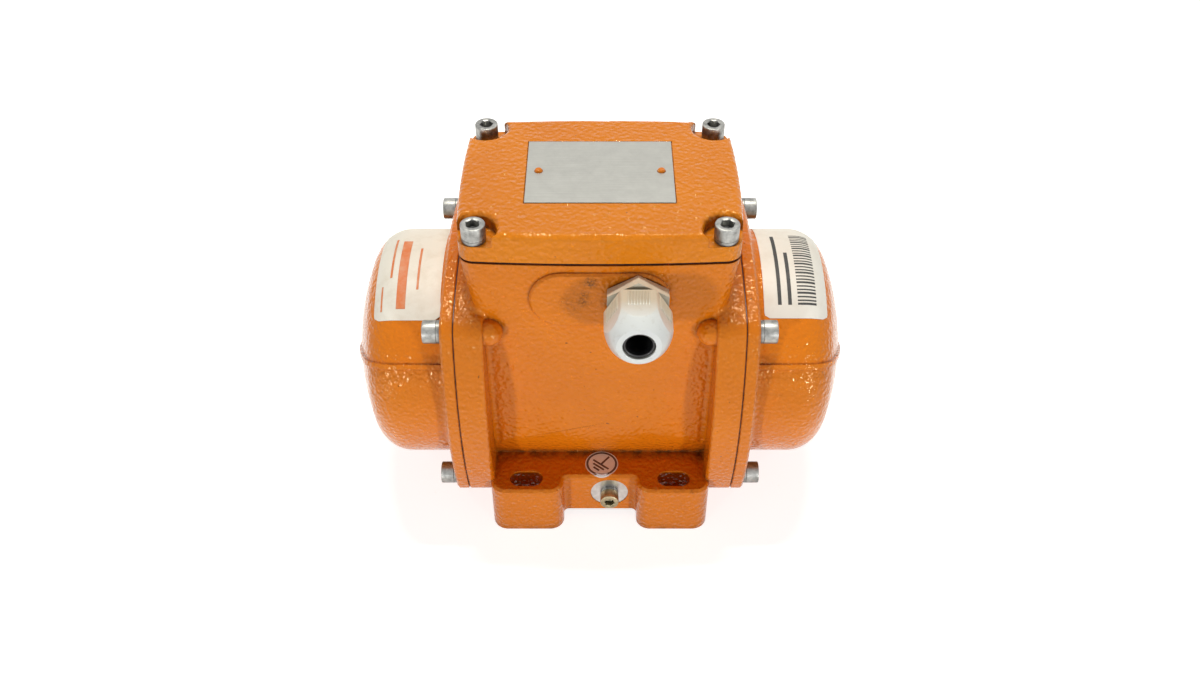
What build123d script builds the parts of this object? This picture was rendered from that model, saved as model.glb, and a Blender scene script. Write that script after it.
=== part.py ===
from build123d import *
import os
from math import atan2, cos, radians, sin, sqrt

# Unbalanced vibration motor: a foot-mounted squirrel-cage motor whose shaft carries an
# adjustable eccentric weight pair at each end, under domed covers, with a terminal box on top.
# Millimetres. The origin is the centre of the four foot slots on the mounting plane, +X runs
# along the shaft, +Z is up and -Y is the side with the cable entry.

os.makedirs("parts", exist_ok=True)

# Clearances
seat_gap = 0.02
running_gap = 0.05
thread_gap = 0.05
screw_gap = 0.3
axial_gap = 0.3

# Shaft line and end flanges
shield_seat_radius = 51.0
shield_seat_depth = 8.0
body_flange_thickness = 12.2
cover_joint_thickness = 0.4
cover_flange_thickness = 5.5
flange_rim = 8.3
flange_lift = 6.4
flange_setback = 1.8
flange_side_radius = 140.0
flange_corner_radius = 9.0
flange_edge_radius = 1.4
bolt_circle_rim = 11.5
joint_setback = 0.8

# Main casting
stator_bore_radius = 36.0
casting_wall = 8.0
wall_bow = 2.0
wall_corner_radius = 6.5
box_end_setback = 2.3
box_taper = 3.2
box_taper_height = 23.6
core_bury_x = 1.5
core_bury_z = 3.0
undercut_height = 27.0
undercut_depth = 8.0
wall_fillet = 2.0
chamber_floor_wall = 10.3
chamber_height = 32.6
chamber_end_wall = 8.4
chamber_side_wall = 6.0
chamber_corner_radius = 4.0
wire_passage_radius = 5.0
wire_passage_offset = 8.0

# Feet
slot_pitch_x = 68.0
slot_pitch_y = 106.0
slot_width = 9.0
slot_length = 15.0
foot_height = 27.0
foot_end_margin = 16.3
foot_front_margin = 7.7
foot_bury_y = 11.0
pad_inner_margin = 17.0
pad_outer_radius = 7.0
pad_inner_radius = 6.4
web_recess = 9.0
web_corner_radius = 2.4
web_underside_z = 4.0
foot_edge_chamfer = 1.2
joint_edge_chamfer = 0.4
entry_edge_chamfer = 0.9

# Bolt nubs behind the body flanges
nub_radius = 6.0
nub_reach = 8.0

# Screws
cover_screw_size = 6.0
cover_screw_length = 20.0
lid_screw_length = 20.0
clamp_screw_size = 6.0
ground_screw_size = 5.0
ground_screw_length = 14.0
spring_washer_thickness = 1.6
spring_washer_slit = 0.8

# Terminal box lid
lid_joint_thickness = 0.8
lid_ear_height = 7.6
lid_height = 13.6
lid_top_wall = 4.0
lid_edge_radius = 2.5
lid_screw_end_inset = 8.15
lid_screw_side_inset = 6.8
lid_scoop_radius = 9.3
lid_post_radius = 7.5
lid_hollow_clearance = 3.2
plate_length = 61.6
plate_width = 45.6
plate_thickness = 0.9
plate_recess = 0.7
plate_margin = 0.4
plate_centre_y = 2.0
rivet_end_inset = 5.0
rivet_shank_radius = 1.3
rivet_head_radius = 1.9
rivet_head_height = 0.9
rivet_length = 3.2

# Cable entries
entry_drop = 17.0
entry_pitch = 30.6
entry_boss_height = 27.6
entry_boss_rise = 1.5
gland_thread_radius = 10.0
gland_thread_length = 9.0
gland_joint_thickness = 1.0
gland_joint_width = 2.2
gland_hex_flats = 25.0
gland_hex_thickness = 5.0
gland_bore_radius = 8.0
gland_sleeve_length = 12.0
gland_nut_flats = 24.4
gland_nut_standoff = 1.2
gland_nut_length = 20.4
gland_nut_skirt = 9.5
gland_nut_mouth_radius = 6.6
gland_nut_front = 4.0
gland_nut_radius = 13.9
gland_nut_rim_radius = 9.0
gland_nut_corner_radius = 1.5
gland_seal_bore_radius = 6.0
gland_seal_length = 12.0

# Ground terminal on the foot web
ground_x = 4.4
ground_rise = 0.2
ground_face_radius = 8.7
ground_face_depth = 0.3

# Covers
cover_lip = 1.1
cover_length = 43.8
cover_crown = 7.2
cover_shoulder_radius = 16.0
cover_root_fillet = 3.0
cover_wall = 3.0
cover_edge_chamfer = 1.0
cover_bead_angle = 29.0
cover_bead_width = 2.2
cover_bead_rise = 1.0

# Bearings and shaft
bearing_bore_radius = 7.5
bearing_outer_radius = 21.0
bearing_width = 13.0
bearing_ring_wall = 3.4
bearing_pocket_back = 2.0
shield_hub_wall = 5.0
shaft_clearance_radius = 12.0
circlip_thickness = 1.75
circlip_depth = 1.6
circlip_inner_reach = 3.0
circlip_gap = 6.0
core_journal_radius = 12.0
shoulder_radius = 10.0
weight_seat_radius = 7.0
shaft_end_margin = 4.0
shaft_end_chamfer = 1.0
shaft_core_margin = 3.0
rotor_radius = 19.7
air_gap = 0.3
end_ring_length = 5.0
end_ring_width = 7.0
end_ring_inset = 0.5
winding_overhang = 12.0
winding_end_gap = 1.93
winding_chamfer = 3.0
winding_radial = 10.5
winding_setback = 1.3

# Eccentric weights
spacer_length = 7.5
spacer_radius = 10.5
weight_radius = 37.0
weight_thickness = 12.0
weight_hub_radius = 13.5
lug_half_width = 11.0
lug_height = 22.0
lug_slit = 2.5
lug_screw_height = 14.0
key_width = 4.0
key_length = 10.0
key_height = 4.0
key_depth = 2.4
end_washer_radius = 11.0
end_washer_thickness = 2.0
end_circlip_thickness = 1.2
end_circlip_width = 3.0
end_circlip_depth = 0.6

# Terminal board
board_length = 54.0
board_width = 26.0
board_thickness = 8.0
stud_pitch_x = 16.0
stud_pitch_y = 13.0
stud_radius = 2.0
stud_rise = 9.0
board_centre_x = -6.0
board_screw_size = 4.0
board_screw_margin = 4.0
board_screw_grip = 4.0
board_corner_radius = 3.0
board_rib_width = 2.0
board_rib_height = 4.0

# Derived stations along the shaft
foot_half_x = slot_pitch_x / 2 + foot_end_margin
pad_inner_x = slot_pitch_x / 2 - pad_inner_margin
flange_inner_x = foot_half_x - flange_setback
core_half_x = flange_inner_x + core_bury_x
split_x = flange_inner_x + body_flange_thickness
box_half_x = split_x - box_end_setback
box_shoulder_half_x = box_half_x - box_taper
chamber_half_x = box_half_x - chamber_end_wall
lid_screw_x = box_half_x - lid_screw_end_inset
cover_back_x = split_x + cover_joint_thickness
cover_face_x = cover_back_x + cover_flange_thickness
cover_end_x = cover_face_x + cover_length
shield_seat_x = split_x - shield_seat_depth
bearing_end_x = split_x - circlip_thickness - seat_gap
bearing_start_x = bearing_end_x - bearing_width
hub_start_x = bearing_start_x - bearing_pocket_back
rotor_half_length = hub_start_x - winding_end_gap - winding_overhang
wire_passage_x = rotor_half_length + wire_passage_offset
cover_screw_tip_x = cover_face_x + spring_washer_thickness - cover_screw_length
fixed_weight_x = bearing_end_x + spacer_length
adjustable_weight_x = fixed_weight_x + weight_thickness + axial_gap
end_washer_x = adjustable_weight_x + weight_thickness + axial_gap
end_circlip_x = end_washer_x + end_washer_thickness
shaft_end_x = end_circlip_x + end_circlip_thickness + shaft_end_margin

# Derived radii and widths
bearing_seal_radius = bearing_bore_radius + bearing_ring_wall + axial_gap
cover_radius = shield_seat_radius + cover_lip
flange_half = shield_seat_radius + flange_rim
bolt_offset = (shield_seat_radius + bolt_circle_rim) * cos(radians(45))
foot_half_y = slot_pitch_y / 2 + foot_front_margin
web_face_y = foot_half_y - web_recess
wall_half_y = stator_bore_radius + casting_wall
undercut_bottom_half_y = wall_half_y - undercut_depth
foot_inner_y = wall_half_y - foot_bury_y
chamber_half_y = wall_half_y - chamber_side_wall
lid_screw_y = wall_half_y - lid_screw_side_inset
entry_x = entry_pitch / 2
entry_face_y = -(wall_half_y + entry_boss_rise)

# Derived heights
shaft_height = flange_half + flange_lift
core_bottom_z = foot_height - core_bury_z
undercut_top_z = foot_height + undercut_height
ground_z = (foot_height + web_underside_z) / 2 + ground_rise
chamber_floor_z = shaft_height + stator_bore_radius + chamber_floor_wall
box_split_z = chamber_floor_z + chamber_height
box_shoulder_z = box_split_z - box_taper_height
entry_z = box_split_z - entry_drop
lid_bottom_z = box_split_z + lid_joint_thickness
lid_ear_z = lid_bottom_z + lid_ear_height
lid_top_z = lid_bottom_z + lid_height
plate_top_z = lid_top_z - plate_recess + plate_thickness
rivet_spacing = plate_length - 2 * rivet_end_inset

shaft_axis = Axis((0, 0, shaft_height), (1, 0, 0))
shaft_plane = Plane(origin=(0, 0, shaft_height), x_dir=(1, 0, 0), z_dir=(0, -1, 0))


def across(x):
    """Plane square to the shaft at station x, with +Y to the right and +Z up."""
    return Plane(origin=(x, 0, shaft_height), x_dir=(0, 1, 0), z_dir=(1, 0, 0))


def facing_front(x, y, z):
    """Plane at a point of the front side, looking out along -Y."""
    return Plane(origin=(x, y, z), x_dir=(1, 0, 0), z_dir=(0, -1, 0))


def flange_outline(inset):
    """Square end-flange outline with bowed sides, its edge moved in by inset."""
    half = flange_half - inset
    side_radius = flange_side_radius - inset
    centre_offset = side_radius - half
    corner = (sqrt(2 * side_radius**2 - centre_offset**2) - centre_offset) / 2
    with BuildSketch() as outline:
        with BuildLine():
            ThreePointArc((corner, corner), (0, half), (-corner, corner))
            ThreePointArc((-corner, corner), (-half, 0), (-corner, -corner))
            ThreePointArc((-corner, -corner), (0, -half), (corner, -corner))
            ThreePointArc((corner, -corner), (half, 0), (corner, corner))
        make_face()
        fillet(outline.vertices(), flange_corner_radius - inset)
    return outline.sketch


def end_flange(side):
    """Body end flange with a rounded inner rim and a broken joint edge."""
    with BuildPart() as flange:
        with BuildSketch(across(side * flange_inner_x)):
            add(flange_outline(0))
        extrude(amount=side * body_flange_thickness)
        faces = flange.faces().sort_by(Axis.X)
        if side < 0:
            faces.reverse()
        fillet(faces[0].edges(), flange_edge_radius)
        chamfer(faces[-1].edges(), joint_edge_chamfer)
    return flange.part


def box_outline(half_x, inset):
    """Terminal box outline with bowed sides, its edge moved in by inset."""
    side_x = half_x - inset
    side_y = wall_half_y - inset
    corner_x = side_x - wall_bow
    corner_y = side_y - wall_bow
    with BuildSketch() as outline:
        with BuildLine():
            ThreePointArc((corner_x, corner_y), (0, side_y), (-corner_x, corner_y))
            ThreePointArc((-corner_x, corner_y), (-side_x, 0), (-corner_x, -corner_y))
            ThreePointArc((-corner_x, -corner_y), (0, -side_y), (corner_x, -corner_y))
            ThreePointArc((corner_x, -corner_y), (side_x, 0), (corner_x, corner_y))
        make_face()
        fillet(outline.vertices(), wall_corner_radius - inset)
    return outline.sketch


def chamber_outline(post_radius):
    """Hollow of the terminal box, kept clear of the four screw posts."""
    with BuildSketch() as outline:
        RectangleRounded(2 * chamber_half_x, 2 * chamber_half_y, chamber_corner_radius)
        with GridLocations(2 * lid_screw_x, 2 * lid_screw_y, 2, 2):
            Circle(post_radius, mode=Mode.SUBTRACT)
    return outline.sketch


def head_radius(size):
    """Head radius of a socket head screw."""
    return 0.75 * size + 0.5


def socket_screw(size, length):
    """Socket head screw along +Z, seated on the origin's plane."""
    with BuildPart() as screw:
        Cylinder(size / 2, length, align=(Align.CENTER, Align.CENTER, Align.MAX))
        Cylinder(head_radius(size), size, align=(Align.CENTER, Align.CENTER, Align.MIN))
        with BuildSketch(Plane.XY.offset(size)):
            RegularPolygon((size - 1) / 2, 6, major_radius=False)
        extrude(amount=-size / 2, mode=Mode.SUBTRACT)
    return screw.part


def spring_washer(size):
    """Split spring washer standing on the origin's plane."""
    with BuildPart() as washer:
        with BuildSketch():
            Circle(head_radius(size) - running_gap)
            Circle(size / 2 + screw_gap, mode=Mode.SUBTRACT)
            Rectangle(2 * size, spring_washer_slit, align=(Align.MIN, Align.CENTER), mode=Mode.SUBTRACT)
        extrude(amount=spring_washer_thickness)
    return washer.part


def ring_on_shaft(start_x, end_x, inner_radius, outer_radius):
    """Plain ring on the shaft line between two stations."""
    with BuildPart() as ring:
        with BuildSketch(across(start_x)):
            Circle(outer_radius)
            Circle(inner_radius, mode=Mode.SUBTRACT)
        extrude(amount=end_x - start_x)
    return ring.part


def dome_curve(offset, start_x):
    """Cover meridian, moved out by offset, from start_x round the shoulder to the crown's middle."""
    shoulder_x = cover_end_x - cover_crown - cover_shoulder_radius
    shoulder_height = cover_radius - cover_shoulder_radius
    reach = cover_crown + cover_shoulder_radius
    crown_radius = (reach**2 + shoulder_height**2 - cover_shoulder_radius**2) / (2 * cover_crown)
    crown_x = cover_end_x - crown_radius
    turn = atan2(shoulder_height, shoulder_x - crown_x)
    half_turn = (radians(90) + turn) / 2
    bend = cover_shoulder_radius + offset
    sphere = crown_radius + offset
    shoulder_start = (shoulder_x, cover_radius + offset)
    shoulder_middle = (shoulder_x + bend * cos(half_turn), shoulder_height + bend * sin(half_turn))
    shoulder_end = (shoulder_x + bend * cos(turn), shoulder_height + bend * sin(turn))
    crown_middle = (crown_x + sphere * cos(turn / 2), sphere * sin(turn / 2))
    with BuildLine() as meridian:
        Line((start_x, cover_radius + offset), shoulder_start)
        ThreePointArc(shoulder_start, shoulder_middle, shoulder_end)
        ThreePointArc(shoulder_end, crown_middle, (cover_end_x + offset, 0))
    return meridian.line


def dome_section(offset, start_x):
    """Face between the cover meridian and the shaft line."""
    with BuildSketch() as section:
        with BuildLine():
            add(dome_curve(offset, start_x))
            Polyline((cover_end_x + offset, 0), (start_x, 0), (start_x, cover_radius + offset))
        make_face()
    return section.sketch


def weight_outline(bore_radius):
    """Half-disc weight with a hub and a split clamping lug above it."""
    Circle(weight_radius)
    Rectangle(2 * weight_radius, weight_radius, align=(Align.CENTER, Align.MIN), mode=Mode.SUBTRACT)
    Circle(weight_hub_radius)
    Rectangle(2 * lug_half_width, lug_height, align=(Align.CENTER, Align.MIN))
    Circle(bore_radius, mode=Mode.SUBTRACT)
    Rectangle(lug_slit, lug_height, align=(Align.CENTER, Align.MIN), mode=Mode.SUBTRACT)


def clamp_weight(start_x, bore_radius):
    """Eccentric weight hanging below the shaft, with a screw hole across its lug."""
    with BuildPart() as weight:
        with BuildSketch(across(start_x)):
            weight_outline(bore_radius)
        extrude(amount=weight_thickness)
        with Locations((start_x + weight_thickness / 2, 0, shaft_height + lug_screw_height)):
            Cylinder(clamp_screw_size / 2 + thread_gap, 2 * lug_half_width, rotation=(90, 0, 0),
                     mode=Mode.SUBTRACT)
    return weight.part


def clamp_screw(start_x):
    """Screw that draws a weight's lug together, its head on the front side."""
    seat = facing_front(start_x + weight_thickness / 2, -lug_half_width, shaft_height + lug_screw_height)
    with BuildPart() as screw:
        with Locations(seat):
            add(socket_screw_m6x20)
    return screw.part


# Fasteners used more than once
socket_screw_m6x20 = socket_screw(cover_screw_size, cover_screw_length)
washer_m6 = spring_washer(cover_screw_size)
board_screw = socket_screw(board_screw_size, board_thickness + board_screw_grip)
board_screw_places = [
    board_centre_x + end * (board_length / 2 - board_screw_margin - head_radius(board_screw_size))
    for end in (-1, 1)
]

cover_screw_seats = [
    Plane(origin=(cover_face_x, y, shaft_height + z), x_dir=(0, 1, 0), z_dir=(1, 0, 0))
    for y in (-bolt_offset, bolt_offset)
    for z in (-bolt_offset, bolt_offset)
]
lid_screw_seats = [
    (x, y, lid_ear_z)
    for x in (-lid_screw_x, lid_screw_x)
    for y in (-lid_screw_y, lid_screw_y)
]

# Main casting
with BuildPart() as housing:
    # Feet: two pads joined by a set-back web, front and back
    with BuildSketch() as foot_plan:
        with BuildLine():
            Polyline(
                (-foot_half_x, -foot_inner_y),
                (-foot_half_x, -foot_half_y),
                (-pad_inner_x, -foot_half_y),
                (-pad_inner_x, -web_face_y),
                (pad_inner_x, -web_face_y),
                (pad_inner_x, -foot_half_y),
                (foot_half_x, -foot_half_y),
                (foot_half_x, -foot_inner_y),
                close=True,
            )
        make_face()
        front = foot_plan.vertices().group_by(Axis.Y)[0].sort_by(Axis.X)
        fillet([front[0], front[-1]], pad_outer_radius)
        front = foot_plan.vertices().group_by(Axis.Y)[0].sort_by(Axis.X)
        fillet([front[1], front[-2]], pad_inner_radius)
        inner = [v for v in foot_plan.vertices() if abs(v.Y + web_face_y) < seat_gap]
        fillet(inner, web_corner_radius)
        mirror(about=Plane.XZ)
    extrude(amount=foot_height)
    top_edges = housing.edges().group_by(Axis.Z)[-1]
    chamfer([e for e in top_edges if abs(e.center().Y) > foot_inner_y + seat_gap], foot_edge_chamfer)
    with BuildSketch():
        Rectangle(2 * pad_inner_x, 3 * foot_half_y)
    extrude(amount=web_underside_z, mode=Mode.SUBTRACT)

    # Terminal box and motor body in one tapering block
    with BuildSketch(Plane.XY.offset(box_split_z)):
        add(box_outline(box_half_x, 0))
    with BuildSketch(Plane.XY.offset(box_shoulder_z)):
        add(box_outline(box_shoulder_half_x, 0))
    with BuildSketch(Plane.XY.offset(core_bottom_z)):
        add(box_outline(core_half_x, 0))
    loft(ruled=True)

    # The walls curve in above the feet
    with BuildSketch(Plane.YZ):
        with BuildLine():
            curl_top = (wall_half_y, undercut_top_z)
            curl_foot = (undercut_bottom_half_y, foot_height)
            TangentArc(curl_top, curl_foot, tangent=(0, -1))
            Polyline(
                curl_foot,
                (wall_half_y + wall_bow, foot_height),
                (wall_half_y + wall_bow, undercut_top_z),
                curl_top,
            )
        make_face()
        mirror(about=Plane.YZ)
    extrude(amount=flange_inner_x, both=True, mode=Mode.SUBTRACT)

    add(end_flange(-1))
    add(end_flange(1))

    # Fillets where the walls run down the flanges
    wall_lines = [
        e
        for e in housing.edges().filter_by(GeomType.LINE, reverse=True)
        if abs(abs(e.center().X) - flange_inner_x) < seat_gap
        and abs(e.center().Y) < wall_half_y
        and e.length > foot_height
        and e.center().Z > foot_height
    ]
    fillet(wall_lines, wall_fillet)

    # Nubs behind the upper cover screws
    for side in (-1, 1):
        nub_x = side * (flange_inner_x - nub_reach + nub_radius)
        for y in (-bolt_offset, bolt_offset):
            with Locations((nub_x, y, shaft_height + bolt_offset)):
                Sphere(nub_radius)
            with Locations((side * flange_inner_x, y, shaft_height + bolt_offset)):
                Cylinder(nub_radius, 2 * (nub_reach - nub_radius), rotation=(0, 90, 0))

    # Raised face for the two cable entries
    with BuildSketch(facing_front(0, entry_face_y, entry_z)):
        SlotOverall(entry_pitch + entry_boss_height, entry_boss_height)
    extrude(amount=-(entry_boss_rise + wall_bow))
    entry_face = housing.faces().filter_by(Axis.Y).sort_by(Axis.Y)
    entry_face = [f for f in entry_face if abs(f.center().Y - entry_face_y) < seat_gap]
    chamfer(entry_face[0].edges(), entry_edge_chamfer)

    # Terminal chamber, stator bore, shield seats and the wire passage between them
    with BuildSketch(Plane.XY.offset(box_split_z)):
        add(chamber_outline(lid_post_radius))
    extrude(amount=chamber_floor_z - box_split_z, mode=Mode.SUBTRACT)
    with Locations((0, 0, shaft_height)):
        Cylinder(stator_bore_radius, 2 * split_x, rotation=(0, 90, 0), mode=Mode.SUBTRACT)
    for side in (-1, 1):
        with BuildSketch(across(side * split_x)):
            Circle(shield_seat_radius)
        extrude(amount=-side * shield_seat_depth, mode=Mode.SUBTRACT)
    with BuildSketch(Plane.XY.offset(chamber_floor_z)):
        with Locations((wire_passage_x, 0)):
            Circle(wire_passage_radius)
    extrude(amount=shaft_height - chamber_floor_z, mode=Mode.SUBTRACT)

    # Feet slots on the mounting plane
    with BuildSketch():
        with GridLocations(slot_pitch_x, slot_pitch_y, 2, 2):
            SlotOverall(slot_length, slot_width)
    extrude(amount=foot_height, mode=Mode.SUBTRACT)

    # Tapped holes for the lid and cover screws
    with Locations(*lid_screw_seats):
        Cylinder(cover_screw_size / 2 + thread_gap, lid_screw_length + screw_gap,
                 align=(Align.CENTER, Align.CENTER, Align.MAX), mode=Mode.SUBTRACT)
    for side in (-1, 1):
        with BuildSketch(across(side * (cover_screw_tip_x - screw_gap))):
            with GridLocations(2 * bolt_offset, 2 * bolt_offset, 2, 2):
                Circle(cover_screw_size / 2 + thread_gap)
        extrude(amount=side * cover_screw_length, mode=Mode.SUBTRACT)

    # Tapped cable entry, ground terminal face and its tapped hole
    with BuildSketch(facing_front(entry_x, entry_face_y, entry_z)):
        Circle(gland_thread_radius + thread_gap)
    extrude(amount=entry_face_y + chamber_half_y, mode=Mode.SUBTRACT)
    with BuildSketch(facing_front(ground_x, -web_face_y, ground_z)):
        Circle(ground_face_radius)
    extrude(amount=-ground_face_depth, mode=Mode.SUBTRACT)
    with BuildSketch(facing_front(ground_x, -web_face_y, ground_z)):
        Circle(ground_screw_size / 2 + thread_gap)
    extrude(amount=-ground_screw_length, mode=Mode.SUBTRACT)

    # Tapped holes for the terminal board
    with Locations(*[(x, 0, chamber_floor_z) for x in board_screw_places]):
        Cylinder(board_screw_size / 2 + thread_gap, board_screw_grip + screw_gap,
                 align=(Align.CENTER, Align.CENTER, Align.MAX), mode=Mode.SUBTRACT)

# Terminal box lid and its joint
with BuildPart() as lid_gasket:
    with BuildSketch(Plane.XY.offset(box_split_z)):
        add(box_outline(box_half_x, joint_setback))
        add(chamber_outline(lid_post_radius), mode=Mode.SUBTRACT)
        with GridLocations(2 * lid_screw_x, 2 * lid_screw_y, 2, 2):
            Circle(cover_screw_size / 2 + screw_gap, mode=Mode.SUBTRACT)
    extrude(amount=lid_joint_thickness)

with BuildPart() as terminal_lid:
    with BuildSketch(Plane.XY.offset(lid_bottom_z)):
        add(box_outline(box_half_x, 0))
    extrude(amount=lid_height)
    with BuildSketch(Plane.XY.offset(lid_ear_z)):
        with GridLocations(2 * lid_screw_x, 2 * lid_screw_y, 2, 2):
            Circle(lid_scoop_radius)
    extrude(amount=lid_height - lid_ear_height, mode=Mode.SUBTRACT)
    fillet(terminal_lid.edges().group_by(Axis.Z)[-1], lid_edge_radius)
    chamfer(terminal_lid.edges().group_by(Axis.Z)[0], joint_edge_chamfer)
    with BuildSketch(Plane.XY.offset(lid_bottom_z)):
        add(chamber_outline(lid_scoop_radius + lid_hollow_clearance))
    extrude(amount=lid_height - lid_top_wall, mode=Mode.SUBTRACT)
    with BuildSketch(Plane.XY.offset(lid_top_z)):
        with Locations((0, plate_centre_y)):
            Rectangle(plate_length + 2 * plate_margin, plate_width + 2 * plate_margin)
    extrude(amount=-plate_recess, mode=Mode.SUBTRACT)
    with BuildSketch(Plane.XY.offset(lid_top_z)):
        with Locations((0, plate_centre_y)):
            with GridLocations(rivet_spacing, 1, 2, 1):
                Circle(rivet_shank_radius)
    extrude(amount=-rivet_length, mode=Mode.SUBTRACT)
    with BuildSketch(Plane.XY.offset(lid_bottom_z)):
        with GridLocations(2 * lid_screw_x, 2 * lid_screw_y, 2, 2):
            Circle(cover_screw_size / 2 + screw_gap)
    extrude(amount=lid_height, mode=Mode.SUBTRACT)

with BuildPart() as lid_washers:
    with Locations(*lid_screw_seats):
        add(washer_m6)

with BuildPart() as lid_screws:
    with Locations(*[(x, y, z + spring_washer_thickness) for x, y, z in lid_screw_seats]):
        add(socket_screw_m6x20)

with BuildPart() as lid_plate:
    with BuildSketch(Plane.XY.offset(lid_top_z - plate_recess)):
        with Locations((0, plate_centre_y)):
            Rectangle(plate_length, plate_width)
            with GridLocations(rivet_spacing, 1, 2, 1):
                Circle(rivet_shank_radius, mode=Mode.SUBTRACT)
    extrude(amount=plate_thickness)

with BuildPart() as plate_rivets:
    with Locations((0, plate_centre_y, plate_top_z)):
        with GridLocations(rivet_spacing, 1, 2, 1):
            Cylinder(rivet_shank_radius, plate_top_z - lid_top_z + rivet_length,
                     align=(Align.CENTER, Align.CENTER, Align.MAX))
            Cone(rivet_head_radius, rivet_shank_radius, rivet_head_height,
                 align=(Align.CENTER, Align.CENTER, Align.MIN))

# Cable gland in the right-hand entry
gland_origin = (entry_x, entry_face_y, entry_z)
gland_axis = Axis(gland_origin, (0, -1, 0))
gland_section = Plane(origin=gland_origin, x_dir=(0, -1, 0), z_dir=(-1, 0, 0))
gland_hex_end = gland_joint_thickness + gland_hex_thickness
gland_nut_start = gland_hex_end + gland_nut_standoff
gland_nut_end = gland_nut_start + gland_nut_length
gland_nut_inner_end = gland_nut_end - gland_nut_front

with BuildPart() as gland_gasket:
    with BuildSketch(facing_front(*gland_origin)):
        Circle(gland_thread_radius + gland_joint_width)
        Circle(gland_thread_radius + thread_gap, mode=Mode.SUBTRACT)
    extrude(amount=gland_joint_thickness)

with BuildPart() as gland_body:
    with BuildSketch(facing_front(*gland_origin).offset(gland_joint_thickness)):
        RegularPolygon(gland_hex_flats / 2, 6, major_radius=False, rotation=30)
    extrude(amount=gland_hex_thickness)
    with BuildSketch(facing_front(*gland_origin).offset(-gland_thread_length)):
        Circle(gland_thread_radius)
    extrude(amount=gland_thread_length + gland_hex_end + gland_sleeve_length)
    with BuildSketch(facing_front(*gland_origin).offset(-gland_thread_length)):
        Circle(gland_bore_radius)
    extrude(amount=gland_thread_length + gland_hex_end + gland_sleeve_length, mode=Mode.SUBTRACT)

with BuildPart() as gland_nut:
    with BuildSketch(gland_section):
        with BuildLine():
            skirt_end = (gland_nut_start + gland_nut_skirt, gland_nut_radius)
            rim = (gland_nut_end, gland_nut_rim_radius)
            Polyline(
                rim,
                (gland_nut_end, 0),
                (gland_nut_start, 0),
                (gland_nut_start, gland_nut_radius),
                skirt_end,
            )
            TangentArc(skirt_end, rim, tangent=(1, 0))
        make_face()
    revolve(axis=gland_axis)
    with BuildSketch(facing_front(*gland_origin).offset(gland_nut_start)):
        RegularPolygon(gland_nut_flats / 2, 6, major_radius=False)
        fillet(vertices(), gland_nut_corner_radius)
    extrude(amount=gland_nut_length, mode=Mode.INTERSECT)
    with BuildSketch(facing_front(*gland_origin).offset(gland_nut_start)):
        Circle(gland_thread_radius + screw_gap)
    extrude(amount=gland_nut_inner_end - gland_nut_start, mode=Mode.SUBTRACT)
    with BuildSketch(facing_front(*gland_origin).offset(gland_nut_inner_end)):
        Circle(gland_nut_mouth_radius)
    extrude(amount=gland_nut_front, mode=Mode.SUBTRACT)

with BuildPart() as gland_seal:
    with BuildSketch(facing_front(*gland_origin).offset(gland_nut_inner_end - seat_gap - gland_seal_length)):
        Circle(gland_bore_radius - seat_gap)
        Circle(gland_seal_bore_radius, mode=Mode.SUBTRACT)
    extrude(amount=gland_seal_length)

# Ground terminal screw
with BuildPart() as ground_washer:
    with Locations(facing_front(ground_x, -(web_face_y - ground_face_depth), ground_z)):
        add(spring_washer(ground_screw_size))

with BuildPart() as ground_screw:
    ground_seat_y = ground_face_depth - web_face_y - spring_washer_thickness
    with Locations(facing_front(ground_x, ground_seat_y, ground_z)):
        add(socket_screw(ground_screw_size, ground_screw_length - ground_face_depth))

# Stator
with BuildPart() as stator_core:
    add(ring_on_shaft(-rotor_half_length, rotor_half_length,
                      rotor_radius + air_gap, stator_bore_radius - seat_gap))

with BuildPart() as stator_windings:
    with BuildSketch(shaft_plane):
        with Locations((rotor_half_length, rotor_radius + air_gap + winding_setback)):
            Rectangle(winding_overhang, winding_radial, align=Align.MIN)
        chamfer(vertices().group_by(Axis.X)[-1], winding_chamfer)
    revolve(axis=shaft_axis)
    mirror(about=Plane.YZ)

# Rotor on its shaft
shaft_steps = (
    (rotor_half_length + shaft_core_margin, core_journal_radius),
    (bearing_start_x, shoulder_radius),
    (fixed_weight_x, bearing_bore_radius),
    (shaft_end_x, weight_seat_radius),
)
with BuildPart() as shaft:
    start_x = 0
    for end_x, radius in shaft_steps:
        with BuildSketch(across(start_x)):
            Circle(radius)
        extrude(amount=end_x - start_x)
        start_x = end_x
    chamfer(shaft.edges().group_by(Axis.X)[-1], shaft_end_chamfer)
    with BuildSketch(across(end_circlip_x)):
        Circle(weight_seat_radius + shaft_end_chamfer)
        Circle(weight_seat_radius - end_circlip_depth, mode=Mode.SUBTRACT)
    extrude(amount=end_circlip_thickness, mode=Mode.SUBTRACT)
    with Locations((fixed_weight_x + weight_thickness / 2, 0, shaft_height - weight_seat_radius)):
        Box(key_length, key_width, key_depth,
            align=(Align.CENTER, Align.CENTER, Align.MIN), mode=Mode.SUBTRACT)
    mirror(about=Plane.YZ)

with BuildPart() as rotor_core:
    add(ring_on_shaft(-rotor_half_length, rotor_half_length, core_journal_radius + seat_gap, rotor_radius))

with BuildPart() as rotor_end_rings:
    add(ring_on_shaft(rotor_half_length, rotor_half_length + end_ring_length,
                      rotor_radius - end_ring_width, rotor_radius - end_ring_inset))
    mirror(about=Plane.YZ)

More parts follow.
